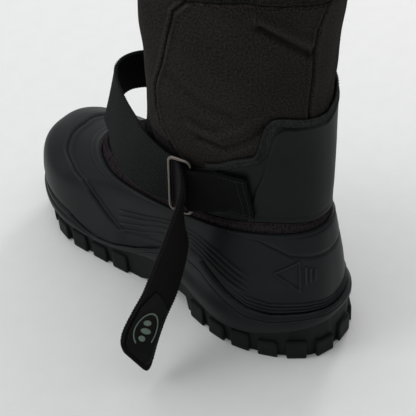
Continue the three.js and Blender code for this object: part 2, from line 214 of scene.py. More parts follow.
def paintGrooveShadeAndEdgeHighlight(tree, shader, colour, low=0.25, high=1.9):
    # grooves are darkened as painted shade and dirt, and raised edges are made paler as a painted highlight,
    # by the piece's own "edge" attribute
    edge = node(tree, "ShaderNodeAttribute", attribute_name="edge")
    factor = node(tree, "ShaderNodeMapRange")
    for label, value in (("From Min", -1.0), ("From Max", 1.0), ("To Min", low), ("To Max", high)):
        factor.inputs[label].default_value = value
    tree.links.new(edge.outputs["Fac"], factor.inputs["Value"])
    scaled = node(tree, "ShaderNodeVectorMath", operation="SCALE")
    tree.links.new(colour, scaled.inputs[0])
    tree.links.new(factor.outputs["Result"], scaled.inputs["Scale"])
    tree.links.new(scaled.outputs["Vector"], shader.inputs["Base Color"])


def paint(tree, shader, colour, edges):
    # with edges, the "edge" attribute paints shade into hollows and a highlight onto ridges
    if edges:
        paintGrooveShadeAndEdgeHighlight(tree, shader, colour)
    else:
        tree.links.new(colour, shader.inputs["Base Color"])


rubberSet = {"cloud": 38, "grain": 1500, "wear": 0.14, "depth": 0.00012}


def rubber(name, dark, light, rough, grain=0.5, edges=False):
    s = rubberSet
    mat, tree, shader = newMaterial(name, dark, rough, specular=0.1)
    vector = coords(tree, "Object", (1, 1, 1))
    broad = noiseOf(tree, vector, s["cloud"], 5, 0.6)
    fine = noiseOf(tree, vector, s["grain"], 2, 0.5)
    paint(tree, shader, rampOf(tree, broad, [(0.3, dark), (0.72, light)]), edges)
    worn = mathOf(tree, "MULTIPLY_ADD", broad, s["wear"], rough - s["wear"] / 2)
    tree.links.new(worn, shader.inputs["Roughness"])
    bumpOf(tree, shader, fine, grain, s["depth"])
    return mat


threadBand = 0.314                                    # a wave texture's scale times its spacing in metres


def bandsOf(tree, vector, axis, spacing, distortion, **details):
    wave = node(tree, "ShaderNodeTexWave", bands_direction=axis)
    wave.inputs["Scale"].default_value = threadBand / spacing
    wave.inputs["Distortion"].default_value = distortion
    for label, value in details.items():
        wave.inputs[label].default_value = value
    tree.links.new(vector, wave.inputs["Vector"])
    return wave.outputs["Fac"]


def weighted(tree, *pairs):
    # the sum of each value times its weight
    parts = [mathOf(tree, "MULTIPLY", value, weight) for value, weight in pairs]
    total = parts[0]
    for part in parts[1:]:
        total = mathOf(tree, "ADD", total, part)
    return total


weaveSet = {"fleck": 0.62, "cloud": 26, "stretch": (1.0, 0.75, 1.0),
            "detail": {"Detail": 1.0, "Detail Scale": 3.0}}


def woven(name, dark, light, rough, thread, fleck=0.8, strength=0.6, depth=0.00035, edges=False):
    # two crossed sets of threads on the piece's own UV, with flecks of lighter yarn
    s = weaveSet
    mat, tree, shader = newMaterial(name, dark, rough, specular=0.07)
    vector = coords(tree, "UV", (1, 1, 1))
    waves = [bandsOf(tree, vector, axis, thread, 1.4, **s["detail"]) for axis in "XY"]
    weave = mathOf(tree, "MULTIPLY", *waves)
    flecks = noiseOf(tree, coords(tree, "UV", s["stretch"]), s["fleck"] / thread, 3, 0.65)
    broad = noiseOf(tree, vector, s["cloud"], 3, 0.5)
    mixed = weighted(tree, (flecks, fleck), (weave, 0.3), (broad, 0.1))
    paint(tree, shader, rampOf(tree, mixed, [(0.36, dark), (0.68, light)]), edges)
    bumpOf(tree, shader, weighted(tree, (weave, 1.0), (flecks, 0.7)), strength, depth)
    return mat


ribSet = {"pick": 0.6, "fibre": 420, "depth": 0.0004, "strength": 0.8}


def ribbed(name, dark, light, rough, rib):
    # webbing: ribs that run along the strap, crossed by fine picks
    s = ribSet
    mat, tree, shader = newMaterial(name, dark, rough, specular=0.08)
    vector = coords(tree, "UV", (1, 1, 1))
    ribs = bandsOf(tree, vector, "Y", rib, 0.5)
    picks = bandsOf(tree, vector, "X", rib * s["pick"], 1.0)
    fibre = noiseOf(tree, vector, s["fibre"], 4, 0.7)
    weave = weighted(tree, (ribs, 0.6), (picks, 0.35))
    mixed = weighted(tree, (weave, 0.45), (fibre, 0.6))
    paint(tree, shader, rampOf(tree, mixed, [(0.28, dark), (0.75, light)]), False)
    bumpOf(tree, shader, weighted(tree, (weave, 1.0), (fibre, 0.4)), s["strength"], s["depth"])
    return mat


def steel(name, base, rough):
    mat, tree, shader = newMaterial(name, base, rough, metal=1.0)
    vector = coords(tree, "Object", (1, 1, 0.15))
    scratch = noiseOf(tree, vector, 900, 4, 0.7)
    colour = rampOf(tree, scratch, [(0.25, tuple(c * 0.6 for c in base)), (0.7, base)])
    tree.links.new(colour, shader.inputs["Base Color"])
    worn = mathOf(tree, "MULTIPLY_ADD", scratch, 0.25, rough - 0.1)
    tree.links.new(worn, shader.inputs["Roughness"])
    return mat


# edges=True paints shade into the piece's grooves and a highlight onto its raised edges
finishes = {
    "sole": rubber("soleRubber", (0.0055, 0.0068, 0.0065), (0.010, 0.0118, 0.0113), 0.6),
    "shell": rubber("shellRubber", (0.0085, 0.0098, 0.0104), (0.0132, 0.015, 0.016), 0.42, 0.3, edges=True),
    "cloth": woven("shaftCloth", (0.003, 0.0028, 0.0025), (0.034, 0.0305, 0.0275), 0.9, 0.00085, edges=True),
    # the throat's cloth is darker partly in its own colour and partly as painted shade of the instep's hollow
    "vamp": woven("vampClothAndShade", (0.003, 0.0026, 0.0028), (0.016, 0.0132, 0.0142), 0.95, 0.0014),
    "cuff": woven("cuffCloth", (0.005, 0.0045, 0.0043), (0.024, 0.022, 0.021), 0.9, 0.0016),
    "lining": woven("fleeceLining", (0.03, 0.029, 0.028), (0.085, 0.082, 0.079), 1.0, 0.0022, strength=1.0),
    "binding": woven("bindingTape", (0.0012, 0.0009, 0.001), (0.030, 0.0238, 0.0268), 0.95, 0.0018,
                     fleck=1.15, strength=1.0, depth=0.0006),
    "counter": rubber("counterSkin", (0.0046, 0.0056, 0.0053), (0.0078, 0.0092, 0.0088), 0.5, 0.6,
                      edges=True),
    "counterEdge": woven("counterBorder", (0.0015, 0.0018, 0.0017), (0.034, 0.037, 0.035), 0.8, 0.0017,
                         fleck=1.1, strength=1.0, depth=0.0006),
    "webbing": ribbed("strapWebbing", (0.0028, 0.0036, 0.0036), (0.018, 0.0215, 0.0215), 0.85, 0.0022),
    "hookFace": ribbed("strapInner", (0.003, 0.0029, 0.0028), (0.0165, 0.0152, 0.0146), 0.95, 0.0011),
    "strapPile": ribbed("strapPile", (0.0035, 0.0028, 0.0033), (0.021, 0.0175, 0.0205), 0.95, 0.0014),
    "tab": ribbed("tabWebbing", (0.0012, 0.0014, 0.0013), (0.006, 0.0064, 0.006), 0.85, 0.0018),
    "steel": steel("ringSteel", (0.2, 0.175, 0.157), 0.36),
    "insole": rubber("insoleTop", (0.16, 0.155, 0.15), (0.30, 0.29, 0.28), 0.95, 1.0),
    "thread": ribbed("thread", (0.026, 0.029, 0.029), (0.075, 0.082, 0.081), 0.8, 0.0004),
    "darkThread": ribbed("darkThread", (0.0035, 0.0035, 0.0035), (0.012, 0.0116, 0.0116), 0.8, 0.0004),
    "patch": rubber("patchRubber", (0.002, 0.002, 0.002), (0.0042, 0.004, 0.004), 0.6),
    "mark": rubber("markPrint", (0.15, 0.21, 0.17), (0.23, 0.30, 0.25), 0.5),
}
print("materials made:", len(finishes))


# the boot's outer surface: rows as in the model, in millimetres

stations = [0, 0.12, 0.3, 0.55, 0.8, 1]
tread = {"toe": -250, "back": 36, "out": [49, 49, 42, 48], "inn": [42, 57, 44, 48],
         "z": [0, 0, 0, 0, 0, 0], "swing": [-14, -6], "square": 0.74}
welt = {"toe": -258, "back": 37, "out": [51, 51, 43, 50], "inn": [44, 59, 45, 50],
        "z": [30, 27, 21, 34, 21, 36], "swing": [-14, -6], "square": 0.74}
bootRows = [
    welt,
    {"toe": -259, "back": 37, "out": [51, 51.5, 43, 50], "inn": [44, 59.5, 45, 50],
      "z": [36, 32, 25, 41, 32, 42], "swing": [-14, -6], "square": 0.74},
    {"toe": -257, "back": 34.5, "out": [50, 50.5, 41, 47], "inn": [43, 58.5, 43, 47],
      "z": [42, 37, 29, 47, 42, 48], "swing": [-14, -6], "square": 0.74},
    {"toe": -258, "back": 34, "out": [49, 49.5, 41, 46], "inn": [43, 57.5, 43, 46],
      "z": [56, 52, 45, 58, 56, 60], "swing": [-13, -6], "square": 0.76},
    {"toe": -254, "back": 32.5, "out": [46, 47, 41, 44], "inn": [40, 53, 42, 44],
      "z": [70, 67, 63, 72, 72, 78], "swing": [-12, -5], "square": 0.78},
    {"toe": -239, "back": 30, "out": [40, 44, 41, 41], "inn": [33, 43, 40, 41],
      "z": [78, 75, 74, 84, 90, 98], "swing": [-10, -4], "square": 0.82},
    {"toe": -212, "back": 28, "out": [34, 41, 40, 38], "inn": [28, 39, 39, 38],
      "z": [85, 82, 84, 93, 104, 112], "swing": [-6, -3], "square": 0.85},
    {"toe": -191, "back": 26, "out": [30, 38, 39, 36.5], "inn": [28, 39, 39, 36.5],
      "z": [91, 88, 91, 98, 110, 117], "swing": [-3, -2], "square": 0.86},
    {"toe": -184, "back": 25.5, "out": [29, 36, 37, 34], "inn": [27, 37, 37, 34],
      "z": [103, 101, 101, 108, 122, 130], "swing": [-3, -2], "square": 0.86},
    {"toe": -162, "back": 26, "out": [30, 37, 39, 35], "inn": [25, 36, 38, 35],
      "z": [118, 116, 116, 124, 140, 150], "swing": [-2, -1], "square": 0.87},
    {"toe": -138, "back": 26, "out": [33, 42, 44, 38], "inn": [27, 38, 42, 37],
      "z": [139, 138, 138, 146, 164, 176], "swing": [0, 0], "square": 0.89},
    {"toe": -125, "back": 25.5, "out": [39, 49, 50, 42], "inn": [34, 45, 47, 40],
      "z": [172, 172, 173, 180, 196, 206], "swing": [0, 0], "square": 0.91},
    {"toe": -117, "back": 27, "out": [44, 55, 55, 46], "inn": [40, 51, 51, 42],
      "z": [216, 217, 219, 226, 236, 242], "swing": [0, 0], "square": 0.92},
    {"toe": -114, "back": 29.5, "out": [47, 58, 58, 48], "inn": [43, 55, 54, 44],
      "z": [264, 265, 266, 268, 272, 276], "swing": [0, 0], "square": 0.92},
    {"toe": -114, "back": 34, "out": [48, 59, 59, 49], "inn": [44, 56, 56, 47],
      "z": [305, 305, 305, 306, 308, 309], "swing": [0, 0], "square": 0.92},
    {"toe": -115, "back": 39.5, "out": [49, 60, 60, 50], "inn": [45, 57, 57, 48],
      "z": [338] * 6, "swing": [0, 0], "square": 0.92},
]


def cubic(t, here, leave, there, arrive):
    # a smooth curve between two values with the slopes given at both ends
    return ((2 * t**3 - 3 * t**2 + 1) * here + (t**3 - 2 * t**2 + t) * leave
            + (3 * t**2 - 2 * t**3) * there + (t**3 - t**2) * arrive)


def hermite(xs, ys, x):
    xs, ys = np.asarray(xs, float), np.asarray(ys, float)
    step = np.diff(xs)
    rise = np.diff(ys) / step
    slope = np.empty(len(xs))
    slope[0], slope[-1] = rise[0], rise[-1]
    slope[1:-1] = (rise[:-1] * step[1:] + rise[1:] * step[:-1]) / (step[1:] + step[:-1])
    i = np.clip(np.searchsorted(xs, x, side="left") - 1, 0, len(xs) - 2)
    h = step[i]
    t = (x - xs[i]) / h
    return cubic(t, ys[i], h * slope[i], ys[i + 1], h * slope[i + 1])


def rowPoints(row, phi):
    s = np.sin(phi)
    along = (1 - np.cos(phi)) / 2

    def wide(half):
        scaled = [w / (2 * math.sqrt(e * (1 - e))) ** row["square"]
                  for w, e in zip(half, stations[1:5])]
        return hermite(stations, [scaled[0], *scaled, scaled[3]], along)

    half = np.where(s >= 0, wide(row["out"]), wide(row["inn"]))
    middle = hermite([0, 0.3, 0.6, 1], [*row["swing"], 0, 0], along)
    x = middle + np.sign(s) * half * np.abs(s) ** row["square"]
    y = row["toe"] + (row["back"] - row["toe"]) * along
    return np.stack([x, y, hermite(stations, row["z"], along)], -1)


topLevel = len(bootRows) - 1
rimLevel = 7
tableSteps = 7200                                     # the rows are worked out at this many places
tablePhi = np.arange(tableSteps + 1) * 2 * math.pi / tableSteps
rowTable = np.stack([rowPoints(row, tablePhi) for row in bootRows])


def surfacePoints(phi, level):
    # phi: round the foot from the toe tip over the outer side; level: from the welt to the collar
    phi, level = np.broadcast_arrays(np.asarray(phi, float), np.asarray(level, float))
    place = (phi % (2 * math.pi)) * tableSteps / (2 * math.pi)
    column = np.minimum(place.astype(int), tableSteps - 1)
    part = (place - column)[..., None]
    first = np.clip(np.floor(level).astype(int) - 1, 0, topLevel - 3)
    x = level - first
    i = np.clip(np.ceil(x).astype(int) - 1, 0, 2)
    t = (x - i)[..., None]
    near = [rowTable[first + k, column] * (1 - part) + rowTable[first + k, column + 1] * part
            for k in range(4)]
    slopes = [near[1] - near[0], (near[2] - near[0]) / 2, (near[3] - near[1]) / 2, near[3] - near[2]]
    which = np.broadcast_to(i[..., None], phi.shape + (3,))
    here, there = np.choose(which, near), np.choose(which + 1, near)
    leave, arrive = np.choose(which, slopes), np.choose(which + 1, slopes)
    return cubic(t, here, leave, there, arrive)


def surfaceNormals(phi, level):
    d, e = 0.03, 0.06
    high, low = np.minimum(topLevel, level + e), np.maximum(0, level - e)
    normal = np.cross(surfacePoints(phi + d, level) - surfacePoints(phi - d, level),
                      surfacePoints(phi, high) - surfacePoints(phi, low))
    return normal / np.linalg.norm(normal, axis=-1, keepdims=True)


def offsetPoints(phi, level, off):
    phi, level, off = np.broadcast_arrays(*(np.asarray(v, float) for v in (phi, level, off)))
    return surfacePoints(phi, level) + surfaceNormals(phi, level) * off[..., None]


heightLevels = np.linspace(rimLevel - 2.0, topLevel, 400)
heightPhis = np.arange(721) * turn / 2
heightTable = surfacePoints(heightPhis[:, None], heightLevels[None, :])[..., 2]


def levelAt(phi, z):
    phi, z = np.broadcast_arrays(np.asarray(phi, float), np.asarray(z, float))
    place = (phi % (2 * math.pi)) / turn * 2
    column = np.minimum(place.astype(int), 719)
    part = place - column
    low, high = np.zeros(phi.shape), np.full(phi.shape, len(heightLevels) - 1.0)
    for _ in range(18):
        middle = (low + high) / 2
        k = np.minimum(middle.astype(int), len(heightLevels) - 2)
        f = middle - k
        left = heightTable[column, k] * (1 - f) + heightTable[column, k + 1] * f
        right = heightTable[column + 1, k] * (1 - f) + heightTable[column + 1, k + 1] * f
        under = left * (1 - part) + right * part < z
        low, high = np.where(under, middle, low), np.where(under, high, middle)
    return heightLevels[0] + low * (heightLevels[1] - heightLevels[0])


def skinPoints(phi, z, off):
    return offsetPoints(phi, levelAt(phi, z), off)


def sidePoints(side, y, z, off):
    y, z = np.broadcast_arrays(np.asarray(y, float), np.asarray(z, float))
    low, high = np.full(y.shape, 0.2), np.full(y.shape, math.pi - 0.2)
    for _ in range(16):
        middle = (low + high) / 2
        ahead = skinPoints(side * middle, z, off)[..., 1] < y
        low, high = np.where(ahead, middle, low), np.where(ahead, high, middle)
    return skinPoints(side * low, z, off)


def ease(x, start, end):
    t = np.clip((x - start) / (end - start), 0, 1)
    return t * t * (3 - 2 * t)


def ridge(distance, width):
    return np.exp(-(distance / width) ** 2)


def tableAt(table, x):
    return np.interp(x, [row[0] for row in table], [row[1] for row in table])


def smoothAt(table, x):
    return hermite([row[0] for row in table], [row[1] for row in table], x)


def foldOf(degrees):
    # degrees from the toe tip, the same on both sides
    return np.minimum(degrees, 360 - degrees)


def roundPhi(count):
    return np.arange(count) * 2 * math.pi / count


def toLine(points, line, flat=False):
    # the distance from each point to a line of points; flat leaves X out, so that both sides get it
    p = points[..., 1:] if flat else points
    best = np.full(p.shape[:-1], 1e9)
    for a, b in zip(line, line[1:]):
        a = np.array(a[1:] if flat else a, float)
        b = np.array(b[1:] if flat else b, float)
        t = np.clip(((p - a) @ (b - a)) / ((b - a) @ (b - a)), 0, 1)
        best = np.minimum(best, np.linalg.norm(p - (a + t[..., None] * (b - a)), axis=-1))
    return best


# meshes

def meshFrom(name, points, quads, uvs=None, groups=None, materials=()):
    mesh = bpy.data.meshes.new(name)
    mesh.from_pydata((np.asarray(points) * mm).tolist(), [], np.asarray(quads).tolist())
    if uvs is not None:
        flat = (np.asarray(uvs) * mm).astype(np.float32).ravel()
        mesh.uv_layers.new(name="flat").data.foreach_set("uv", flat)
    mesh.polygons.foreach_set("use_smooth", np.ones(len(mesh.polygons), bool))
    for material in materials:
        mesh.materials.append(material)
    if groups is not None:
        mesh.polygons.foreach_set("material_index", np.asarray(groups, np.int32))
    mesh.update()
    made = bpy.data.objects.new(name, mesh)
    scene.collection.objects.link(made)
    return made


def paintedLightValues(relief, gain):
    # convex places go up to one, hollows down to minus one, for a painted highlight on ridges and painted
    # shade in hollows
    padded = np.pad(relief, ((1, 1), (0, 0)), mode="edge")
    bend = padded[2:] + padded[:-2] - 2 * relief
    bend = bend + np.roll(relief, 1, 1) + np.roll(relief, -1, 1) - 2 * relief
    return np.clip(-bend * gain, -1, 1)


def setPaintedLight(piece, values):
    # the values for painted shade and highlight, kept as the "edge" attribute
    full = np.zeros(len(piece.data.vertices), np.float32)
    full[:values.size] = values.ravel()
    piece.data.attributes.new("edge", "FLOAT", "POINT").data.foreach_set("value", full)


def ringMesh(name, loops, materials, roundLength, groupOf=None):
    # loops of equal length, joined one to the next, and the last to the first
    loops = np.asarray(loops)
    rows, count = loops.shape[:2]
    steps = np.linalg.norm(np.diff(loops, axis=0), axis=-1).mean(1)
    height = np.concatenate([[0], np.cumsum(steps), [steps.sum() + 5]])
    j, i = np.meshgrid(np.arange(rows), np.arange(count), indexing="ij")
    a, b = j * count + i, j * count + (i + 1) % count
    up = (j + 1) % rows
    quads = np.stack([a, b, up * count + (i + 1) % count, up * count + i], -1).reshape(-1, 4)
    u0, u1 = i / count * roundLength, (i + 1) / count * roundLength
    v0, v1 = height[j], height[j + 1]
    uvs = np.stack([np.stack(pair, -1) for pair in ((u0, v0), (u1, v0), (u1, v1), (u0, v1))], 2)
    groups = None if groupOf is None else groupOf(j, i).reshape(-1)
    return meshFrom(name, loops.reshape(-1, 3), quads, uvs.reshape(-1, 2), groups, materials)


def stripMesh(name, loops, materials, width, groupOf=None):
    # loops across a strip (outer face low to high, then inner face back), closed at both ends
    loops = np.asarray(loops)
    rows, count = loops.shape[:2]
    half = count // 2
    steps = np.linalg.norm(np.diff(loops, axis=0), axis=-1).mean(1)
    along = np.concatenate([[0], np.cumsum(steps)])
    j, k = np.meshgrid(np.arange(rows - 1), np.arange(count), indexing="ij")
    k1 = (k + 1) % count
    a, b = j * count, (j + 1) * count
    quads = np.stack([a + k, b + k, b + k1, a + k1], -1).reshape(-1, 4)
    share = np.where(k < half, k, count - 1 - k) / (half - 1) * width
    share1 = np.where(k1 < half, k1, count - 1 - k1) / (half - 1) * width
    s0, s1 = along[j], along[j + 1]
    corners = [np.stack(pair, -1) for pair in ((s0, share), (s1, share), (s1, share1), (s0, share1))]
    uvs = np.stack(corners, 2).reshape(-1, 2)
    m = np.arange(half - 1)
    first = np.stack([m, m + 1, count - 2 - m, count - 1 - m], -1)
    last = (rows - 1) * count + first[:, ::-1]
    quads = np.concatenate([quads, first, last])
    uvs = np.concatenate([uvs, np.zeros((8 * (half - 1), 2))])
    groups = None
    if groupOf is not None:
        groups = np.concatenate([groupOf(j, k).reshape(-1), np.zeros(2 * (half - 1), int)])
    return meshFrom(name, loops.reshape(-1, 3), quads, uvs, groups, materials)


def finish(piece, slot, *nodes):
    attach(piece, "root")
    if nodes:
        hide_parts(*nodes)


# Geometry Nodes: rows of stitches and rings of lugs

def newTree(name, sockets):
    tree = bpy.data.node_groups.new(name, "GeometryNodeTree")
    tree.interface.new_socket("Path", in_out="INPUT", socket_type="NodeSocketGeometry")
    for label, kind, value in sockets:
        socket = tree.interface.new_socket(label, in_out="INPUT", socket_type=kind)
        if value is not None:
            socket.default_value = value
    tree.interface.new_socket("Result", in_out="OUTPUT", socket_type="NodeSocketGeometry")
    return tree, tree.nodes.new("NodeGroupInput"), tree.nodes.new("NodeGroupOutput")


def joined(tree, *wires):
    # each wire is a node, its output, the next node and that one's input
    for source, leaving, target, entering in wires:
        tree.links.new(source.outputs[leaving], target.inputs[entering])


def instanced(tree, given, out, points, thing, align, materialName):
    # shade a shape smooth, put it on the points, make it real and give it its material
    shade = tree.nodes.new("GeometryNodeSetShadeSmooth")
    place = tree.nodes.new("GeometryNodeInstanceOnPoints")
    real = tree.nodes.new("GeometryNodeRealizeInstances")
    coat = tree.nodes.new("GeometryNodeSetMaterial")
    joined(tree, (thing, "Mesh", shade, "Geometry"), (shade, "Geometry", place, "Instance"),
           (points[0], points[1], place, "Points"), (align, "Rotation", place, "Rotation"),
           (place, "Instances", real, "Geometry"), (real, "Geometry", coat, "Geometry"),
           (given, materialName, coat, "Material"), (coat, "Geometry", out, "Result"))
    return place


def stitchTree():
    tree, given, out = newTree("stitchRow", [
        ("Spacing", "NodeSocketFloat", 0.003), ("Length", "NodeSocketFloat", 0.002),
        ("Radius", "NodeSocketFloat", 0.0004), ("Thread", "NodeSocketMaterial", None)])
    curve = tree.nodes.new("GeometryNodeMeshToCurve")
    spread = tree.nodes.new("GeometryNodeResampleCurve")
    if hasattr(spread, "mode"):
        spread.mode = "LENGTH"
    tangent = tree.nodes.new("GeometryNodeInputTangent")
    align = tree.nodes.new("FunctionNodeAlignRotationToVector")
    align.axis = "Z"
    ball = tree.nodes.new("GeometryNodeMeshIcoSphere")
    ball.inputs["Radius"].default_value = 1.0
    ball.inputs["Subdivisions"].default_value = 2
    size = tree.nodes.new("ShaderNodeCombineXYZ")
    halfLength = tree.nodes.new("ShaderNodeMath")
    halfLength.operation = "MULTIPLY"
    halfLength.inputs[1].default_value = 0.5
    place = instanced(tree, given, out, (spread, "Curve"), ball, align, "Thread")
    joined(tree, (given, "Path", curve, "Mesh"), (curve, "Curve", spread, "Curve"),
           (given, "Spacing", spread, "Length"), (tangent, "Tangent", align, "Vector"),
           (given, "Length", halfLength, 0), (halfLength, 0, size, "Z"),
           (given, "Radius", size, "X"), (given, "Radius", size, "Y"), (size, "Vector", place, "Scale"))
    return tree


def lugTree():
    tree, given, out = newTree("lugRing", [
        ("Crease", "NodeSocketFloat", 0.7), ("Rubber", "NodeSocketMaterial", None)])
    block = tree.nodes.new("GeometryNodeMeshCube")
    soft = tree.nodes.new("GeometryNodeSubdivisionSurface")
    soft.inputs["Level"].default_value = 3
    fields = {}
    for name in ("facing", "blockSize"):
        fields[name] = tree.nodes.new("GeometryNodeInputNamedAttribute")
        fields[name].data_type = "FLOAT_VECTOR"
        fields[name].inputs["Name"].default_value = name
    align = tree.nodes.new("FunctionNodeAlignRotationToVector")
    align.axis = "X"
    points = tree.nodes.new("GeometryNodeMeshToPoints")
    place = instanced(tree, given, out, (points, "Points"), soft, align, "Rubber")
    joined(tree, (given, "Path", points, "Mesh"), (block, "Mesh", soft, "Mesh"),
           (given, "Crease", soft, "Edge Crease"), (fields["facing"], "Attribute", align, "Vector"),
           (fields["blockSize"], "Attribute", place, "Scale"))
    return tree


def grow(carrier, tree, values):
    # runs a tree on a carrier object and keeps only the plain mesh that comes out
    modifier = carrier.modifiers.new("grow", "NODES")
    modifier.node_group = tree
    for item in tree.interface.items_tree:
        if item.in_out == "INPUT" and item.name in values:
            modifier[item.identifier] = values[item.name]
    depsgraph = bpy.context.evaluated_depsgraph_get()
    mesh = bpy.data.meshes.new_from_object(carrier.evaluated_get(depsgraph))
    carrier.modifiers.remove(modifier)
    old = carrier.data
    carrier.data = mesh
    mesh.name = carrier.name
    bpy.data.meshes.remove(old)


stitchRow = stitchTree()
lugRing = lugTree()


def stitches(name, lines, sizes, thread, slot):
    # sizes: spacing, length and radius in millimetres
    points, edges = [], []
    for line in lines:
        start = len(points)
        points.extend(np.asarray(line) * mm)
        edges.extend((start + k, start + k + 1) for k in range(len(line) - 1))
    mesh = bpy.data.meshes.new(name)
    mesh.from_pydata([tuple(p) for p in points], edges, [])
    piece = bpy.data.objects.new(name, mesh)
    scene.collection.objects.link(piece)
    spacing, length, radius = (v * mm for v in sizes)
    grow(piece, stitchRow,
         {"Spacing": spacing, "Length": length, "Radius": radius, "Thread": finishes[thread]})
    finish(piece, slot)


# the rubber shell

shellSet = {
    "around": 520, "up": 165, "wall": 3.0, "roundLength": 620, "paintedLightGain": 2.2, "levelStep": 12.0,
    "bandProud": 1.7, "bandGroove": 1.1, "capProud": 1.2, "capGroove": 0.8, "roofDeep": 1.1, "lineDeep": 0.9,
    "ribHeight": 1.15, "heelRib": 1.1, "rimRoll": 0.9, "lip": [(0.04, -0.4), (0.055, -1.4), (0.035, -2.5)],
    # level of the sole band's upper edge by degrees from the toe tip
    "band": [(0, 2.0), (45, 2.16), (54, 2.15), (62, 1.6), (68, 0.95), (76, 0.75), (84, 1.05), (93, 1.95),
             (100, 3.1), (107, 3.75), (113, 3.65), (120, 3.0), (125, 2.54), (132, 2.0), (142, 1.78),
             (153, 1.85), (165, 1.8), (175, 1.55), (180, 1.4)],
    # the other lines of the moulding, in the same way
    "capEdge": [(0, 5.5), (20, 5.35), (30, 5.22), (42, 5.2), (54, 5.0), (61, 4.6), (68, 3.97), (76, 2.97),
                (80, 2.4)],
    "ribTop": [(72, 4.1), (78, 3.97), (88, 4.27), (98, 5.03), (109, 5.0), (118, 4.75),
               (125, 4.4), (134, 3.9)],
    "ribFoot": [(72, 2.75), (78, 2.75), (88, 2.95), (98, 3.6), (108, 4.25), (114, 4.05),
                (122, 3.6), (134, 2.9)],
    "heelLine": [(124, 6.3), (132, 6.1), (138, 5.75), (151, 5.1), (163, 4.92), (180, 4.8)],
}


def shellRelief(phi, level, s):
    fold = foldOf(np.degrees(phi) % 360)
    step = s["levelStep"]                             # about one level, in millimetres
    relief = np.zeros(phi.shape)
    edge = tableAt(s["band"], fold)
    above = (level - edge) * step
    relief += s["bandProud"] * (1 - ease(above, -0.6, 0.6))
    relief -= s["bandGroove"] * ridge(above - 1.5, 0.9)
    relief -= s["lineDeep"] * ridge(above + 7.5, 0.8) * ease(edge, 1.0, 1.5)
    cap = (level - tableAt(s["capEdge"], fold)) * step
    capShare = 1 - ease(fold, 74, 80)
    capStep = s["capProud"] * (1 - ease(cap, -0.7, 0.7)) - s["capGroove"] * ridge(cap - 0.9, 0.8)
    relief += capShare * capStep * ease(above, 1, 6)
    roof = (6.45 + 0.35 * ease(fold, 66, 90) - level) * step
    inside = ease(roof, 0, 1.2) * ease(cap, 1, 4) * (1 - ease(fold, 100, 126)) * ease(above, 0.5, 4)
    relief -= s["roofDeep"] * inside
    top, foot = tableAt(s["ribTop"], fold), tableAt(s["ribFoot"], fold)
    share = ease(fold, 76, 80) * (1 - ease(fold, 127, 134)) * ease(above, 0.5, 2.5)
    for k in range(4):
        relief += s["ribHeight"] * share * ridge((level - (foot + (top - foot) * k / 3)) * step, 0.8)
    heel = ease(fold, 122, 136)
    for k in range(3):
        relief += s["heelRib"] * heel * ridge((level - edge - 0.28 - 0.27 * k) * step, 0.8)
    heelLine = (level - tableAt(s["heelLine"], fold)) * step
    relief -= s["lineDeep"] * ease(fold, 126, 138) * ridge(heelLine, 1.2)
    relief += s["rimRoll"] * ridge((level - 6.88) * step, 1.5)
    return relief


badgeSet = {"centre": (28, 14, 80), "lean": 0.9, "behind": (-6, -8), "corners": [(-15, 1), (9, 13), (9, -13)],
            "line": 0.9, "bars": (15, 19.5, 24), "barWide": 1.0, "barHalf": 8, "shorter": 1.5, "proud": 0.8}


def badgeRelief(points, s):
    # a plain triangle with three bars beside it, moulded on the heel's outer side
    x, y, z = (points[..., axis] for axis in range(3))
    u = (y - s["centre"][1]) - (x - s["centre"][0]) * s["lean"]
    v = z - s["centre"][2]
    on = (x > s["behind"][0]) & (y > s["behind"][1])
    flat = np.stack([u, v], -1)
    edge = toLine(flat, [*s["corners"], s["corners"][0]])
    bars = sum(ridge(u - c, s["barWide"]) * (np.abs(v) < s["barHalf"] - s["shorter"] * i)
               for i, c in enumerate(s["bars"]))
    return np.where(on, s["proud"] * ridge(edge, s["line"]) + s["proud"] * bars, 0)


def buildShell(s):
    phi, level = np.meshgrid(roundPhi(s["around"]), np.linspace(0, rimLevel, s["up"]))
    base = surfacePoints(phi, level)
    relief = shellRelief(phi, level, s) + badgeRelief(base, badgeSet)
    relief *= ease(level, 0, 0.05) * 0.98 + 0.02
    outer = base + surfaceNormals(phi, level) * relief[..., None]
    around = phi[0]
    lip = [offsetPoints(around, rimLevel + rise, off) for rise, off in s["lip"]]
    inner = [offsetPoints(around, lv, -s["wall"]) for lv in np.linspace(rimLevel, 0, 10)]
    piece = ringMesh("shellBody", [*outer, *lip, *inner], [finishes["shell"]], s["roundLength"])
    # painted shade in the moulding's grooves, painted highlight on its ridges
    setPaintedLight(piece, paintedLightValues(relief, s["paintedLightGain"]))
    finish(piece, "shell_rubber", "shell")


buildShell(shellSet)
print("shell built")


# the outsole: the modelled block with softened edges, and lugs round its side

soleSet = {"bevel": 0.0009, "corner": 40, "weld": 0.00002, "lugWide": 15.2, "lugTall": 18.0, "lugDeep": 8.0,
           "everyOther": 0.85, "pitch": 21.5, "proud": 2.6, "clear": 0.15, "crease": 0.78,
           "springStart": -200, "springRun": 60, "springBend": 1.6, "springRise": 15, "noLugs": (-130, -70),
           "wallShare": 0.275, "around": 2880}


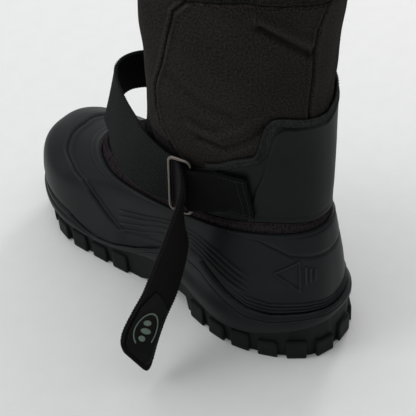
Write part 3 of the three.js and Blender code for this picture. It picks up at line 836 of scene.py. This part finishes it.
def buildSole(s):
    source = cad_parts["outsole"]
    mesh = source.data.copy()
    mesh.name = "soleBlock"
    mesh.materials.clear()
    mesh.materials.append(finishes["sole"])
    piece = bpy.data.objects.new("soleBlock", mesh)
    scene.collection.objects.link(piece)
    weld = piece.modifiers.new("weld", "WELD")
    weld.merge_threshold = s["weld"]
    bevel = piece.modifiers.new("bevel", "BEVEL")
    bevel.width = s["bevel"]
    bevel.segments = 2
    bevel.limit_method = "ANGLE"
    bevel.angle_limit = s["corner"] * turn
    depsgraph = bpy.context.evaluated_depsgraph_get()
    final = bpy.data.meshes.new_from_object(piece.evaluated_get(depsgraph))
    piece.modifiers.clear()
    piece.data = final
    finish(piece, "sole_rubber", "outsole")

    phis = roundPhi(s["around"])
    foot, head = rowPoints(tread, phis), rowPoints(welt, phis)
    wall = foot + (head - foot) * s["wallShare"]
    lengths = np.concatenate([[0], np.cumsum(np.linalg.norm(np.diff(wall, axis=0), axis=-1))])
    points, facing, sizes = [], [], []
    count = int(lengths[-1] / s["pitch"])
    for k in range(count):
        i = int(np.searchsorted(lengths, (k + 0.5) * lengths[-1] / count))
        p = wall[i]
        along = wall[(i + 4) % len(wall)] - wall[i - 4]
        out = np.array([along[1], -along[0], 0.0])
        out /= np.linalg.norm(out)
        if s["noLugs"][0] < p[1] < s["noLugs"][1]:
            continue
        spring = max(0.0, (s["springStart"] - p[1]) / s["springRun"]) ** s["springBend"] * s["springRise"]
        tall = s["lugTall"] * (s["everyOther"] if k % 2 else 1.0)
        centre = p + out * (s["proud"] - s["lugDeep"] / 2)
        centre[2] = spring + tall / 2 + s["clear"]
        points.append(centre * mm)
        facing.append(out)
        sizes.append(np.array([s["lugDeep"], s["lugWide"], tall]) * mm)
    carrierMesh = bpy.data.meshes.new("sideLugs")
    carrierMesh.from_pydata([tuple(p) for p in points], [], [])
    for label, values in (("facing", facing), ("blockSize", sizes)):
        layer = carrierMesh.attributes.new(label, "FLOAT_VECTOR", "POINT")
        layer.data.foreach_set("vector", np.asarray(values, np.float32).ravel())
    lugs = bpy.data.objects.new("sideLugs", carrierMesh)
    scene.collection.objects.link(lugs)
    grow(lugs, lugRing, {"Crease": s["crease"], "Rubber": finishes["sole"]})
    finish(lugs, "sole_rubber")


buildSole(soleSet)
print("sole built")


# the textile upper

upperSet = {
    "around": 420, "up": 210, "wall": 5.0, "off": -3.6, "start": 5.0, "roundLength": 420, "paintedLightGain": 0.9,
    "seamDeep": 1.5, "topSeamDeep": 1.3, "hemDeep": 1.2, "hemHeight": 331, "cuffProud": 0.7, "wave": 0.7,
    "foldGain": 1.6, "foldWide": 0.85, "throatTop": 172, "stitch": (2.6, 1.9, 0.24), "stayStitch": (228, 303),
    # how far in and up the turned hem's rows go
    "hem": [(-0.5, 0.9), (-1.6, 1.5), (-3.0, 1.5), (-4.4, 0.9)],
    "frontSeam": [(56, -42, 340), (56, -42, 306), (56, -53, 295), (55, -64, 261), (51, -79, 223),
                  (48, -83, 203), (47, -82, 188), (45, -72, 166), (43, -60, 150)],
    "topSeam": [(0, 300), (60, 303), (89, 307), (122, 316), (150, 313), (175, 306), (180, 305)],
    "stayLeft": [(205, 165), (250, 167), (289, 169), (306, 175), (340, 177)],
    "stayRight": [(205, 185), (235, 193), (260, 201), (340, 204)],
    # soft folds: points, depth, half width
    "folds": [
        ([(43, 5, 297), (33, 15, 286), (17, 23, 270)], -1.5, 4.0),
        ([(44, 3, 305), (34, 13, 295), (18, 22, 280)], 1.0, 5.0),
        ([(37, 1, 214), (41, -8, 203), (45, -26, 189), (48, -45, 191)], -0.9, 4.0),
        ([(39, -2, 224), (43, -12, 213), (47, -30, 200), (50, -50, 201)], 0.8, 5.0),
        ([(50, -60, 240), (50, -40, 226), (47, -20, 222)], -0.8, 7.0),
        ([(38, -118, 140), (34, -126, 150), (30, -130, 164)], -1.8, 3.2),
        ([(40, -104, 140), (38, -112, 156), (36, -116, 172)], -1.6, 3.4),
        ([(41, -92, 138), (41, -98, 158), (40, -103, 178)], -1.4, 3.2),
        ([(20, -146, 130), (18, -143, 146), (14, -137, 168)], -1.4, 3.6),
        ([(-10, -150, 128), (-10, -144, 148), (-10, -134, 170)], -1.2, 3.6),
    ],
}


def upperRelief(points, phi, s):
    degrees = np.degrees(phi) % 360
    fold = foldOf(degrees)
    z = points[..., 2]
    side = ease(fold, 30, 45) * (1 - ease(fold, 130, 150))
    seam = toLine(points, s["frontSeam"], flat=True)
    relief = (-s["seamDeep"] * ridge(seam, 1.1) + 0.7 * ridge(seam - 2.4, 1.6)) * side
    top = tableAt(s["topSeam"], fold)
    relief -= s["topSeamDeep"] * ridge(z - top, 1.1)
    relief += s["cuffProud"] * ease(z - top, 0.5, 3.0)
    stays = ease(z, 200, 215) * (1 - ease(z - top, -1, 1))
    for table in (s["stayLeft"], s["stayRight"]):
        away = (degrees - tableAt(table, z)) * 0.78   # millimetres to a degree on the shaft
        relief += (-s["seamDeep"] * ridge(away, 1.1) + 0.6 * ridge(np.abs(away) - 2.4, 1.5)) * stays
    for line, depth, width in s["folds"]:
        relief += s["foldGain"] * depth * ridge(toLine(points, line), width * s["foldWide"])
    wave = np.sin(z / 9.0 + np.cos(phi * 2) * 2.2) * np.sin(phi * 3 + z / 30)
    relief += s["wave"] * wave * ease(z, 180, 230)
    relief -= s["hemDeep"] * ridge(z - s["hemHeight"], 0.9)
    return relief


def upperGroups(s, points, phi):
    # 0 the shaft, 1 the throat in front of the seam, its cloth darker partly by its own colour and partly as
    # painted shade, 2 the cuff
    fold = foldOf(np.degrees(phi) % 360)
    z = points[..., 2]
    seamY = tableAt([(p[2], p[1]) for p in s["frontSeam"][::-1]], z)
    groups = np.zeros(phi.shape, int)
    groups[(points[..., 1] < seamY) & (fold < 110) & (z < s["throatTop"])] = 1
    groups[z > tableAt(s["topSeam"], fold)] = 2
    return groups


def buildUpper(s):
    phi, level = np.meshgrid(roundPhi(s["around"]), np.linspace(s["start"], topLevel, s["up"]))
    base = offsetPoints(phi, level, s["off"])
    relief = upperRelief(base, phi, s) * ease(level, 7.2, 7.6)
    outer = base + surfaceNormals(phi, level) * relief[..., None]
    around = phi[0]
    hem = [offsetPoints(around, topLevel, s["off"] + off) + np.array([0, 0, lift])
           for off, lift in s["hem"]]
    inner = [offsetPoints(around, lv, s["off"] - s["wall"])
             for lv in np.linspace(topLevel, s["start"], 24)]
    outerGroups = upperGroups(s, base, phi)

    def groupOf(j, i):
        groups = np.full(j.shape, 3)
        on = j < s["up"] - 1
        groups[on] = outerGroups[j[on], i[on]]
        groups[(j >= s["up"] - 1) & (j < s["up"] + 2)] = 2
        return groups

    slots = [finishes["cloth"], finishes["vamp"], finishes["cuff"], finishes["lining"]]
    piece = ringMesh("shaftBody", [*outer, *hem, *inner], slots, s["roundLength"], groupOf)
    # painted shade in the seams and folds, painted highlight on their raised sides
    setPaintedLight(piece, paintedLightValues(relief, s["paintedLightGain"]))
    finish(piece, "shaft_cloth", "textile_upper")
    # stitches beside the seams, sunk a little less than the cloth is
    sunk = s["off"] + 0.25
    seam = np.array(s["frontSeam"][1:], float)
    t, places = np.linspace(0, len(seam) - 1, 80), range(len(seam))
    y, z = np.interp(t, places, seam[:, 1]), np.interp(t, places, seam[:, 2])
    rows = [sidePoints(side, y + 2.4, z + 0.6, sunk) for side in (1, -1)]
    stitches("frontSeamStitches", rows, s["stitch"], "darkThread", "shaft_cloth")
    degrees = np.linspace(0, 360, 241)
    zTop = tableAt(s["topSeam"], foldOf(degrees))
    rows = [skinPoints(degrees * turn, zTop + 3.0, s["off"] + 0.9),
            skinPoints(degrees * turn, zTop - 2.6, sunk)]
    stitches("cuffStitches", rows, s["stitch"], "darkThread", "shaft_cloth")
    z = np.linspace(*s["stayStitch"], 70)
    rows = [skinPoints((tableAt(table, z) + gap) * turn, z, sunk)
            for table, gap in ((s["stayLeft"], -3.2), (s["stayRight"], 3.2))]
    stitches("stayStitches", rows, s["stitch"], "darkThread", "shaft_cloth")


buildUpper(upperSet)
print("upper built")


# the binding tape above the rim

bindingSet = {
    "top": [(0, 103), (40, 101), (70, 99.5), (94, 103.4), (108, 109.5), (124, 117), (136, 122), (149, 124),
            (180, 124.5)],
    "off": -3.0, "thick": 1.7, "around": 1120, "roundLength": 420, "ribs": 150, "ribHeight": 0.4,
    "rimGap": 0.045,
    # the tape's section: share of its height, share of its thickness
    "section": [(0.0, 0.35), (0.06, 0.8), (0.18, 1.0), (0.4, 1.0), (0.6, 1.0), (0.82, 1.0), (0.94, 0.8),
                (1.0, 0.35)],
    "stitch": (2.2, 1.5, 0.22), "stitchRows": (0.24, 0.78),
}


def tapeEdges(s, phi, fold):
    return surfacePoints(phi, np.full(phi.shape, rimLevel + s["rimGap"]))[:, 2], smoothAt(s["top"], fold)


def buildBinding(s):
    phi = roundPhi(s["around"])
    low, high = tapeEdges(s, phi, foldOf(np.degrees(phi)))
    loops = []
    for share, rise in s["section"]:
        ribs = s["ribHeight"] * np.sin(phi * s["ribs"] + share * 5) if 0.1 < share < 0.9 else 0
        loops.append(skinPoints(phi, low + (high - low) * share, s["off"] + s["thick"] * rise + ribs))
    loops.append(skinPoints(phi, high, s["off"]))
    loops.append(skinPoints(phi, low, s["off"]))
    piece = ringMesh("rimTape", loops, [finishes["binding"]], s["roundLength"])
    finish(piece, "binding_cloth", "rim_binding")
    degrees = np.linspace(0, 360, 361)
    low, high = tapeEdges(s, degrees * turn, foldOf(degrees))
    rows = [skinPoints(degrees * turn, low + (high - low) * share, s["off"] + s["thick"] + 0.1)
            for share in s["stitchRows"]]
    stitches("tapeStitches", rows, s["stitch"], "darkThread", "binding_cloth")


buildBinding(bindingSet)
print("binding built")


# the heel counter

counterSet = {
    "top": [(95, 168), (100, 170.5), (105, 173.5), (112, 180), (120, 185), (124, 187), (127, 189.5),
            (129.5, 196), (131.5, 206), (134, 216), (136.5, 221), (140, 223.3), (148, 223), (156, 220.5),
            (168, 217), (180, 214)],
    "off": -3.0, "thick": 2.0, "columns": 320, "across": 90, "ends": (95.5, 264.5), "paintedLightGain": 1.6,
    "border": 6.5, "pebble": 0.3, "borderLine": 0.6, "panelProud": 0.75, "panelLine": 0.4, "footLine": 0.25,
    "stitch": (2.4, 1.7, 0.24), "stitchRows": (1.9, 5.0), "footStitch": (2.4, 1.7, 0.22),
    # the moulded panel's edge: degrees from the toe tip, height
    "line": [(126, 132), (127, 155), (134, 185), (140, 209), (142, 213), (146, 215), (166, 211), (180, 207)],
}


def buildCounter(s):
    start, end = s["ends"]
    degrees = start + np.linspace(0, 1, s["columns"]) * (end - start)
    fold = foldOf(degrees)
    low = smoothAt(bindingSet["top"], fold) + 0.5
    high = smoothAt(s["top"], fold)
    share = np.linspace(0, 1, s["across"])
    phi = np.broadcast_to(degrees[:, None] * turn, (s["columns"], s["across"]))
    z = low[:, None] + (high - low)[:, None] * share[None, :]
    base = skinPoints(phi, z, s["off"])
    normal = surfaceNormals(phi, levelAt(phi, z))
    # how far each point is from the free edge, for the rounded edge and the stitched border
    rim = skinPoints(degrees * turn, high, s["off"])
    away = toLine(base, [tuple(p) for p in rim[::3]])
    ends = np.minimum(np.abs(degrees - start), np.abs(degrees - end))[:, None] * 0.9
    edge = np.minimum(np.minimum(away, ends), z - low[:, None])
    height = s["thick"] * (0.45 + 0.55 * ease(edge, 0, 1.4))
    border = ease(away, 0.8, 1.6) * (1 - ease(away, s["border"] - 0.8, s["border"]))
    pebble = np.sin(base[..., 2] * 2.1 + base[..., 1] * 1.2) * np.sin(base[..., 1] * 2.3 - base[..., 2] * 0.9)
    height += border * s["pebble"] * (pebble - 1)
    height -= s["borderLine"] * ridge(away - s["border"], 0.7)
    lineZ = tableAt(s["line"], fold)[:, None]
    lineFold = tableAt([(p[1], p[0]) for p in s["line"][:5]], z)
    within = np.minimum((fold[:, None] - lineFold) * 0.75, lineZ - z)
    height += s["panelProud"] * ease(within, -0.5, 0.5) + s["panelLine"] * ridge(within - 0.6, 0.9)
    height -= s["footLine"] * ridge(np.abs(z - low[:, None] - 6), 1.0)
    outer = base + normal * height[..., None]
    loops = np.concatenate([outer, base[:, ::-1]], 1)
    edging = (away > 0.9) & (away < s["border"])

    def groupOf(j, k):
        half = s["across"]
        return np.where(k < half, edging[j, np.minimum(k, half - 1)], 0).astype(int)

    slots = [finishes["counter"], finishes["counterEdge"]]
    piece = stripMesh("heelPanel", loops, slots, 90, groupOf)
    # painted shade and highlight on the panel's outer face, from its relief
    edges = np.zeros((s["columns"], 2 * s["across"]))
    edges[:, :s["across"]] = paintedLightValues(height, s["paintedLightGain"])
    setPaintedLight(piece, edges)
    finish(piece, "counter_skin", "heel_counter")
    steep = np.abs(np.gradient(high, fold)) > 3       # rows keep their distance where the edge climbs
    onSkin = s["off"] + s["thick"] + 0.1
    rows = [skinPoints(degrees * turn, high - inset * (1 + 0.9 * steep), onSkin) for inset in s["stitchRows"]]
    stitches("counterStitches", rows, s["stitch"], "thread", "counter_skin")
    rows = [skinPoints(degrees * turn, low + 2.2, onSkin)]
    stitches("counterFootStitches", rows, s["footStitch"], "darkThread", "counter_skin")


buildCounter(counterSet)
print("heel counter built")


# the ring and its tab

ringSet = {"centre": (50.6, -64.6, 140.2), "down": (0.03, -0.03, -1), "aside": (-0.2, 1, 0), "length": 17,
           "height": 48.4, "corner": 4.0, "wire": 2.6, "sides": 18, "bend": 10}


def ringAxes(s):
    down = np.array(s["down"], float)
    down /= np.linalg.norm(down)
    face = np.cross(down, np.array(s["aside"], float))
    face /= np.linalg.norm(face)
    return down, face, np.cross(face, down)


def buildRing(s):
    down, face, back = ringAxes(s)
    loops = []
    for corner, (u, v) in enumerate(((1, 1), (-1, 1), (-1, -1), (1, -1))):
        for k in range(s["bend"] + 1):
            angle = (corner * 90 + 90 * k / s["bend"]) * turn
            out = back * math.cos(angle) + down * math.sin(angle)
            middle = (np.array(s["centre"]) + back * u * (s["length"] / 2 - s["corner"])
                      + down * v * (s["height"] / 2 - s["corner"]) + out * s["corner"])
            a = roundPhi(s["sides"])
            loops.append(middle + (np.outer(np.cos(a), out) + np.outer(np.sin(a), face)) * s["wire"] / 2)
    piece = ringMesh("strapRing", loops, [finishes["steel"]], 8)
    finish(piece, "ring_steel", "strap_ring")


buildRing(ringSet)

tabSet = {"sew": -30, "end": -11, "low": 126, "high": 168.5, "off": -0.4, "thick": 1.6, "across": 26,
          "gap": 0.35, "belly": 0.6, "lift": 1.45, "sewnLift": 1.5, "margin": 3.0, "insets": (2.5, 7.0),
          "stitch": (2.6, 1.9, 0.26)}


def buildTab(s):
    # the outer leg runs from the sewn end to the ring's bar, round it and back under itself
    down, _, back = ringAxes(ringSet)
    free = ringSet["height"] / 2 - ringSet["corner"] - 1
    share = np.linspace(0, 1, s["across"])
    bar = (np.array(ringSet["centre"]) + back * ringSet["length"] / 2
           + np.outer(free * (1 - 2 * share), down))
    z = s["low"] + (s["high"] - s["low"]) * share
    outerLeg, innerLeg = [], []
    bore = ringSet["wire"] / 2 + s["gap"] + s["thick"] / 2
    stops = np.linspace(0, 1, 14)
    for stop in stops:
        y = np.full(z.shape, s["end"] + (s["sew"] - s["end"]) * stop)
        lift = s["sewnLift"] if stop == stops[-1] else s["lift"]
        outerLeg.append(sidePoints(1, y, z, s["off"] + s["thick"] * lift))
    sewn = outerLeg[-1]
    away = np.array([1.0, 0, 0])
    for t in np.linspace(0.12, 0.88, 10):
        belly = away * s["belly"] * math.sin(t * math.pi)
        outerLeg.append(sewn * (1 - t) + (bar + away * bore) * t + belly)
    for angle in np.linspace(90, -90, 13):
        outerLeg.append(bar + away * bore * math.sin(angle * turn) - back * bore * math.cos(angle * turn))
    for t in np.linspace(0.15, 0.9, 8):
        innerLeg.append((bar - away * bore) * (1 - t) + (sewn - away * s["thick"]) * t)
    path = np.array([*outerLeg, *innerLeg])
    normal = np.cross(np.gradient(path, axis=0), np.gradient(path, axis=1))
    normal /= np.linalg.norm(normal, axis=-1, keepdims=True)
    edge = np.minimum(share, 1 - share)[None, :] * (s["high"] - s["low"])
    half = s["thick"] / 2 * (0.4 + 0.6 * ease(edge, 0, 1.2))[..., None]
    front, rear = path + normal * half, path - normal * half
    loops = np.concatenate([front, rear[:, ::-1]], 1)
    piece = stripMesh("ringTab", loops, [finishes["tab"]], 42)
    finish(piece, "webbing", "ring_tab")
    lift = s["off"] + s["thick"] * 1.95 + 0.2
    ys = np.linspace(s["end"] - s["insets"][0], s["sew"], 30)
    zs = np.linspace(s["low"] + s["margin"], s["high"] - s["margin"], 40)
    rows = [sidePoints(1, ys, np.full(ys.shape, height), lift) for height in (zs[0], zs[-1])]
    rows += [sidePoints(1, np.full(zs.shape, s["end"] - inset), zs, lift) for inset in s["insets"]]
    stitches("tabStitches", rows, s["stitch"], "thread", "webbing")


buildTab(tabSet)
print("ring and tab built")


# the instep strap, its patch and mark

# the strap's upper and lower edge, row by row from the inner side over the instep to the tail
strapRows = [
    ((-46, -84, 163), (-44, -85, 119)),
    ((-46, -108, 165), (-47, -110, 121)),
    ((-43, -130, 167), (-46, -135, 123)),
    ((-37, -151, 168), (-40, -164, 125)),
    ((-29, -167, 168), (-27, -181, 125)),
    ((-17, -174, 168), (-12, -183, 124.5)),
    ((-5, -173, 168), (2, -179, 124)),
    ((6, -164, 168), (14, -174, 124)),
    ((15, -152, 168), (23, -162, 124)),
    ((23, -138, 166), (35, -148, 123)),
    ((31, -122, 165), (46, -132, 123)),
    ((39.5, -107, 164), (53, -113, 122)),
    ((45, -90, 163), (54, -93, 120)),
    ((47.5, -78, 162.4), (50.5, -79, 118.4)),
    ((48.4, -71.5, 162.2), (49.4, -73, 118.2)),
    ((50, -66, 162.2), (51.5, -67, 118.2)),
    ((54, -60.5, 161.6), (56, -62, 118)),
    ((59, -55, 157.5), (58, -59, 113.5)),
    ((66, -51, 150), (58, -57.5, 107)),
    ((76, -50, 137), (56.5, -57, 99)),
    ((86, -52, 118), (56, -57.5, 88)),
    ((95, -56, 98), (60, -58.5, 71)),
    ((104, -59, 80.5), (69.5, -59, 50.5)),
    ((113.5, -61.5, 67), (84.5, -59.5, 34.5)),
    ((125.5, -61.5, 57.5), (99, -56, 21.5)),
    ((132.8, -57.7, 48.7), (115.2, -50.8, 9)),
]
strapSet = {"width": 44, "thick": 2.2, "across": 24, "columns": 460, "cornerRound": 7.0, "pileStart": 17.9,
            "sewn": (-24, -37, -50, -64), "sewnTop": 163, "off": 1.3, "edgeRow": 0.475,
            "edgeStitch": (2.3, 1.5, 0.34), "box": (3, 24), "boxRow": 0.4, "boxStitch": (2.4, 1.8, 0.28)}


def ribbonRows(s):
    heights = s["sewnTop"], s["sewnTop"] - s["width"]
    rows = [np.concatenate([sidePoints(-1, y, z, s["off"]) for z in heights]) for y in s["sewn"]]
    return np.array([*rows, *((*up, *low) for up, low in strapRows)], float)


ribbon = ribbonRows(strapSet)


def ribbonAt(t):
    # smooth between rows, with slopes from the rows on either side
    t = np.clip(np.asarray(t, float), 0, len(ribbon) - 1)
    i = np.clip(np.ceil(t).astype(int) - 1, 0, len(ribbon) - 2)
    x = (t - i)[..., None]
    before, here, there, after = (ribbon[np.clip(i + k, 0, len(ribbon) - 1)] for k in (-1, 0, 1, 2))
    a, b = (there - before) / 2, (after - here) / 2
    return cubic(x, here, a, there, b)


def strapPoints(t, aside, off):
    # aside and off: millimetres from the strap's middle line, across it and outwards
    t, aside, off = np.broadcast_arrays(*(np.asarray(v, float) for v in (t, aside, off)))
    p = ribbonAt(t)
    up, low = p[..., :3], p[..., 3:]
    across = up - low
    across /= np.linalg.norm(across, axis=-1, keepdims=True)
    d = ribbonAt(t + 0.1) - ribbonAt(t - 0.1)
    along = d[..., :3] + d[..., 3:]
    normal = np.cross(along, across)
    normal /= np.linalg.norm(normal, axis=-1, keepdims=True)
    return (up + low) / 2 + across * aside[..., None] + normal * off[..., None]


ribbonT = np.linspace(0, len(ribbon) - 1, 1600)
ribbonSteps = np.linalg.norm(np.diff(strapPoints(ribbonT, 0, 0), axis=0), axis=-1)
ribbonS = np.concatenate([[0], np.cumsum(ribbonSteps)])
ribbonLength = ribbonS[-1]


def atLength(length):
    return np.interp(length, ribbonS, ribbonT)


print("strap length in mm:", round(float(ribbonLength), 1))


def crowded(start, end, count):
    # places along a length, closer together towards both ends
    return start + (end - start) * (0.5 - 0.5 * np.cos(np.linspace(0, math.pi, count)))


def rounded(left, radius):
    # how far a rounded corner cuts in at a distance from the end
    return np.where(left < radius, radius - np.sqrt(np.maximum(0, radius**2 - (radius - left) ** 2)), 0)


def stripPatch(name, edgesAt, ends, offs, materials, slot, columns, across, nodes=(), groupOf=None):
    # a strip that follows the strap; edgesAt gives its two edges at each length along it
    length = crowded(*ends, columns)
    t = atLength(length)[:, None]
    low, high = (edge[:, None] for edge in edgesAt(length))
    share = np.linspace(0, 1, across)[None, :]
    aside = low + (high - low) * share
    soft = 0.35 + 0.65 * ease(np.minimum(share, 1 - share) * (high - low), 0, 1.0)
    middle, half = (offs[0] + offs[1]) / 2, (offs[1] - offs[0]) / 2
    front = strapPoints(t, aside, middle + half * soft)
    rear = strapPoints(t, aside, middle - half * soft)
    loops = np.concatenate([front, rear[:, ::-1]], 1)
    piece = stripMesh(name, loops, [finishes[m] for m in materials], strapSet["width"], groupOf)
    finish(piece, slot, *nodes)


def buildStrap(s):
    half, skin = s["width"] / 2, s["thick"] / 2

    def edges(length):
        cut = rounded(ribbonLength - length, s["cornerRound"])
        return cut - half, half - cut

    rowOf = atLength(crowded(0, ribbonLength, s["columns"]))

    def groupOf(j, k):
        # webbing outside, brushed cloth inside, and a pile face from the ring to the tail
        return np.where(k >= s["across"], 1, np.where(rowOf[j] > s["pileStart"], 2, 0))

    faces = ("webbing", "hookFace", "strapPile")
    stripPatch("instepStrap", edges, (0, ribbonLength - 0.05), (-skin, skin), faces, "webbing",
               s["columns"], s["across"], ["instep_strap"], groupOf)
    t = atLength(np.linspace(3, ribbonLength - 9, 420))
    for name, side in (("strapTopStitches", 1), ("strapFootStitches", -1)):
        for tag, off in (("Out", skin + 0.08), ("In", -skin - 0.08)):
            row = strapPoints(t, side * s["edgeRow"] * s["width"], off)
            stitches(name + tag, [row], s["edgeStitch"], "thread", "webbing")
    reach = s["boxRow"] * s["width"]
    box = [strapPoints(atLength(np.linspace(*s["box"], 24)), aside, skin + 0.1) for aside in (-reach, reach)]
    box += [strapPoints(atLength(np.full(30, d)), np.linspace(-reach, reach, 30), skin + 0.1)
            for d in s["box"]]
    stitches("strapAnchorStitches", box, s["boxStitch"], "thread", "webbing")


buildStrap(strapSet)

patchSet = {"long": 52.0, "wide": 37.0, "endGap": 2.6, "thick": 0.9, "round": 7.0, "apex": 15.0,
            "apexDrop": 9, "apexRise": 11, "stitch": (2.0, 1.6, 0.22), "inset": 1.6}
# the mark: an open ring round three rounded bars, each given by its place and its half length
markSet = {"fromEnd": 21.0, "radius": 12.6, "line": 1.2, "arc": (30, 300), "proud": 0.35, "sunk": 0.02,
           "bars": [(-5.5, 1.5, 5.0), (0.5, -0.5, 6.5), (6.5, 1.0, 4.2)], "barWide": 4.2}


def markArc(m, centre, lift):
    loops = []
    for angle in np.linspace(*m["arc"], 60) * turn:
        corners = ((0, m["proud"]), (m["line"], m["proud"]), (m["line"], m["sunk"]), (0, m["sunk"]))
        loops.append([strapPoints(float(atLength(centre + (m["radius"] + out) * math.cos(angle))),
                                  (m["radius"] + out) * math.sin(angle), lift - deep)
                      for out, deep in corners])
    finish(stripMesh("markRing", loops, [finishes["mark"]], 2), "patch_rubber")


def markBar(m, name, centre, lift, place, reach):
    start, end = centre - m["barWide"] / 2, centre + m["barWide"] / 2

    def edges(length):
        t = np.clip((length - start) / m["barWide"], 0, 1)
        bulge = np.sqrt(np.maximum(0.02, 1 - (2 * t - 1) ** 2)) * reach
        return place - bulge, place + bulge

    stripPatch(name, edges, (start, end), (lift - m["proud"], lift - m["sunk"]), ["mark"],
               "patch_rubber", 16, 12)


def buildPatch(s, m):
    start, end = ribbonLength - s["endGap"] - s["long"], ribbonLength - s["endGap"]
    inner = -strapSet["thick"] / 2
    half = s["wide"] / 2

    def edges(length):
        # the upper end slants from a round apex near the strap's upper edge
        foot = rounded(end - length, s["round"])
        slant = np.clip(1 - (length - start) / s["apex"], 0, 1) ** 1.5
        high = half - foot - slant * s["apexDrop"]
        low = -half + foot + slant * (s["wide"] - s["apexRise"])
        return low, np.maximum(high, low + 0.5)

    stripPatch("tailPatch", edges, (start, end), (inner - s["thick"], inner - 0.02), ["patch"],
               "patch_rubber", 80, 20)
    centre, lift = end - m["fromEnd"], inner - s["thick"]
    markArc(m, centre, lift)
    for k, (along, place, reach) in enumerate(m["bars"]):
        markBar(m, "markBar%d" % k, centre + along, lift, place, reach)
    t = atLength(np.linspace(start + 14, end - 6, 60))
    rows = [strapPoints(t, side * (half - s["inset"]), lift - 0.08) for side in (-1, 1)]
    stitches("patchStitches", rows, s["stitch"], "thread", "patch_rubber")


buildPatch(patchSet, markSet)
print("strap built")

# insole and floor

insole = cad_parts["insole"]
insole.data.materials.clear()
insole.data.materials.append(finishes["insole"])


floorSet = {"half": 6.0, "grain": 60, "base": (0.86, 0.87, 0.865), "dark": (0.85, 0.863, 0.858),
            "light": (0.868, 0.88, 0.875), "rough": 0.7}


def buildFloor(s):
    half = s["half"]
    mesh = bpy.data.meshes.new("floor")
    corners = [(-half, -half, 0), (half, -half, 0), (half, half, 0), (-half, half, 0)]
    mesh.from_pydata(corners, [], [(0, 1, 2, 3)])
    floor = bpy.data.objects.new("floor", mesh)
    scene.collection.objects.link(floor)
    mat, tree, shader = newMaterial("paleFloor", s["base"], s["rough"], specular=0.1)
    grain = noiseOf(tree, coords(tree, "Object", (1, 1, 1)), s["grain"], 3, 0.5)
    paint(tree, shader, rampOf(tree, grain, [(0.3, s["dark"]), (0.7, s["light"])]), False)
    mesh.materials.append(mat)
    floor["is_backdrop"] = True


buildFloor(floorSet)

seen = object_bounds()
for label, box in (("cad box", cadBox), ("visual box", seen)):
    print(label, [tuple(round(c, 4) for c in v) for v in box])
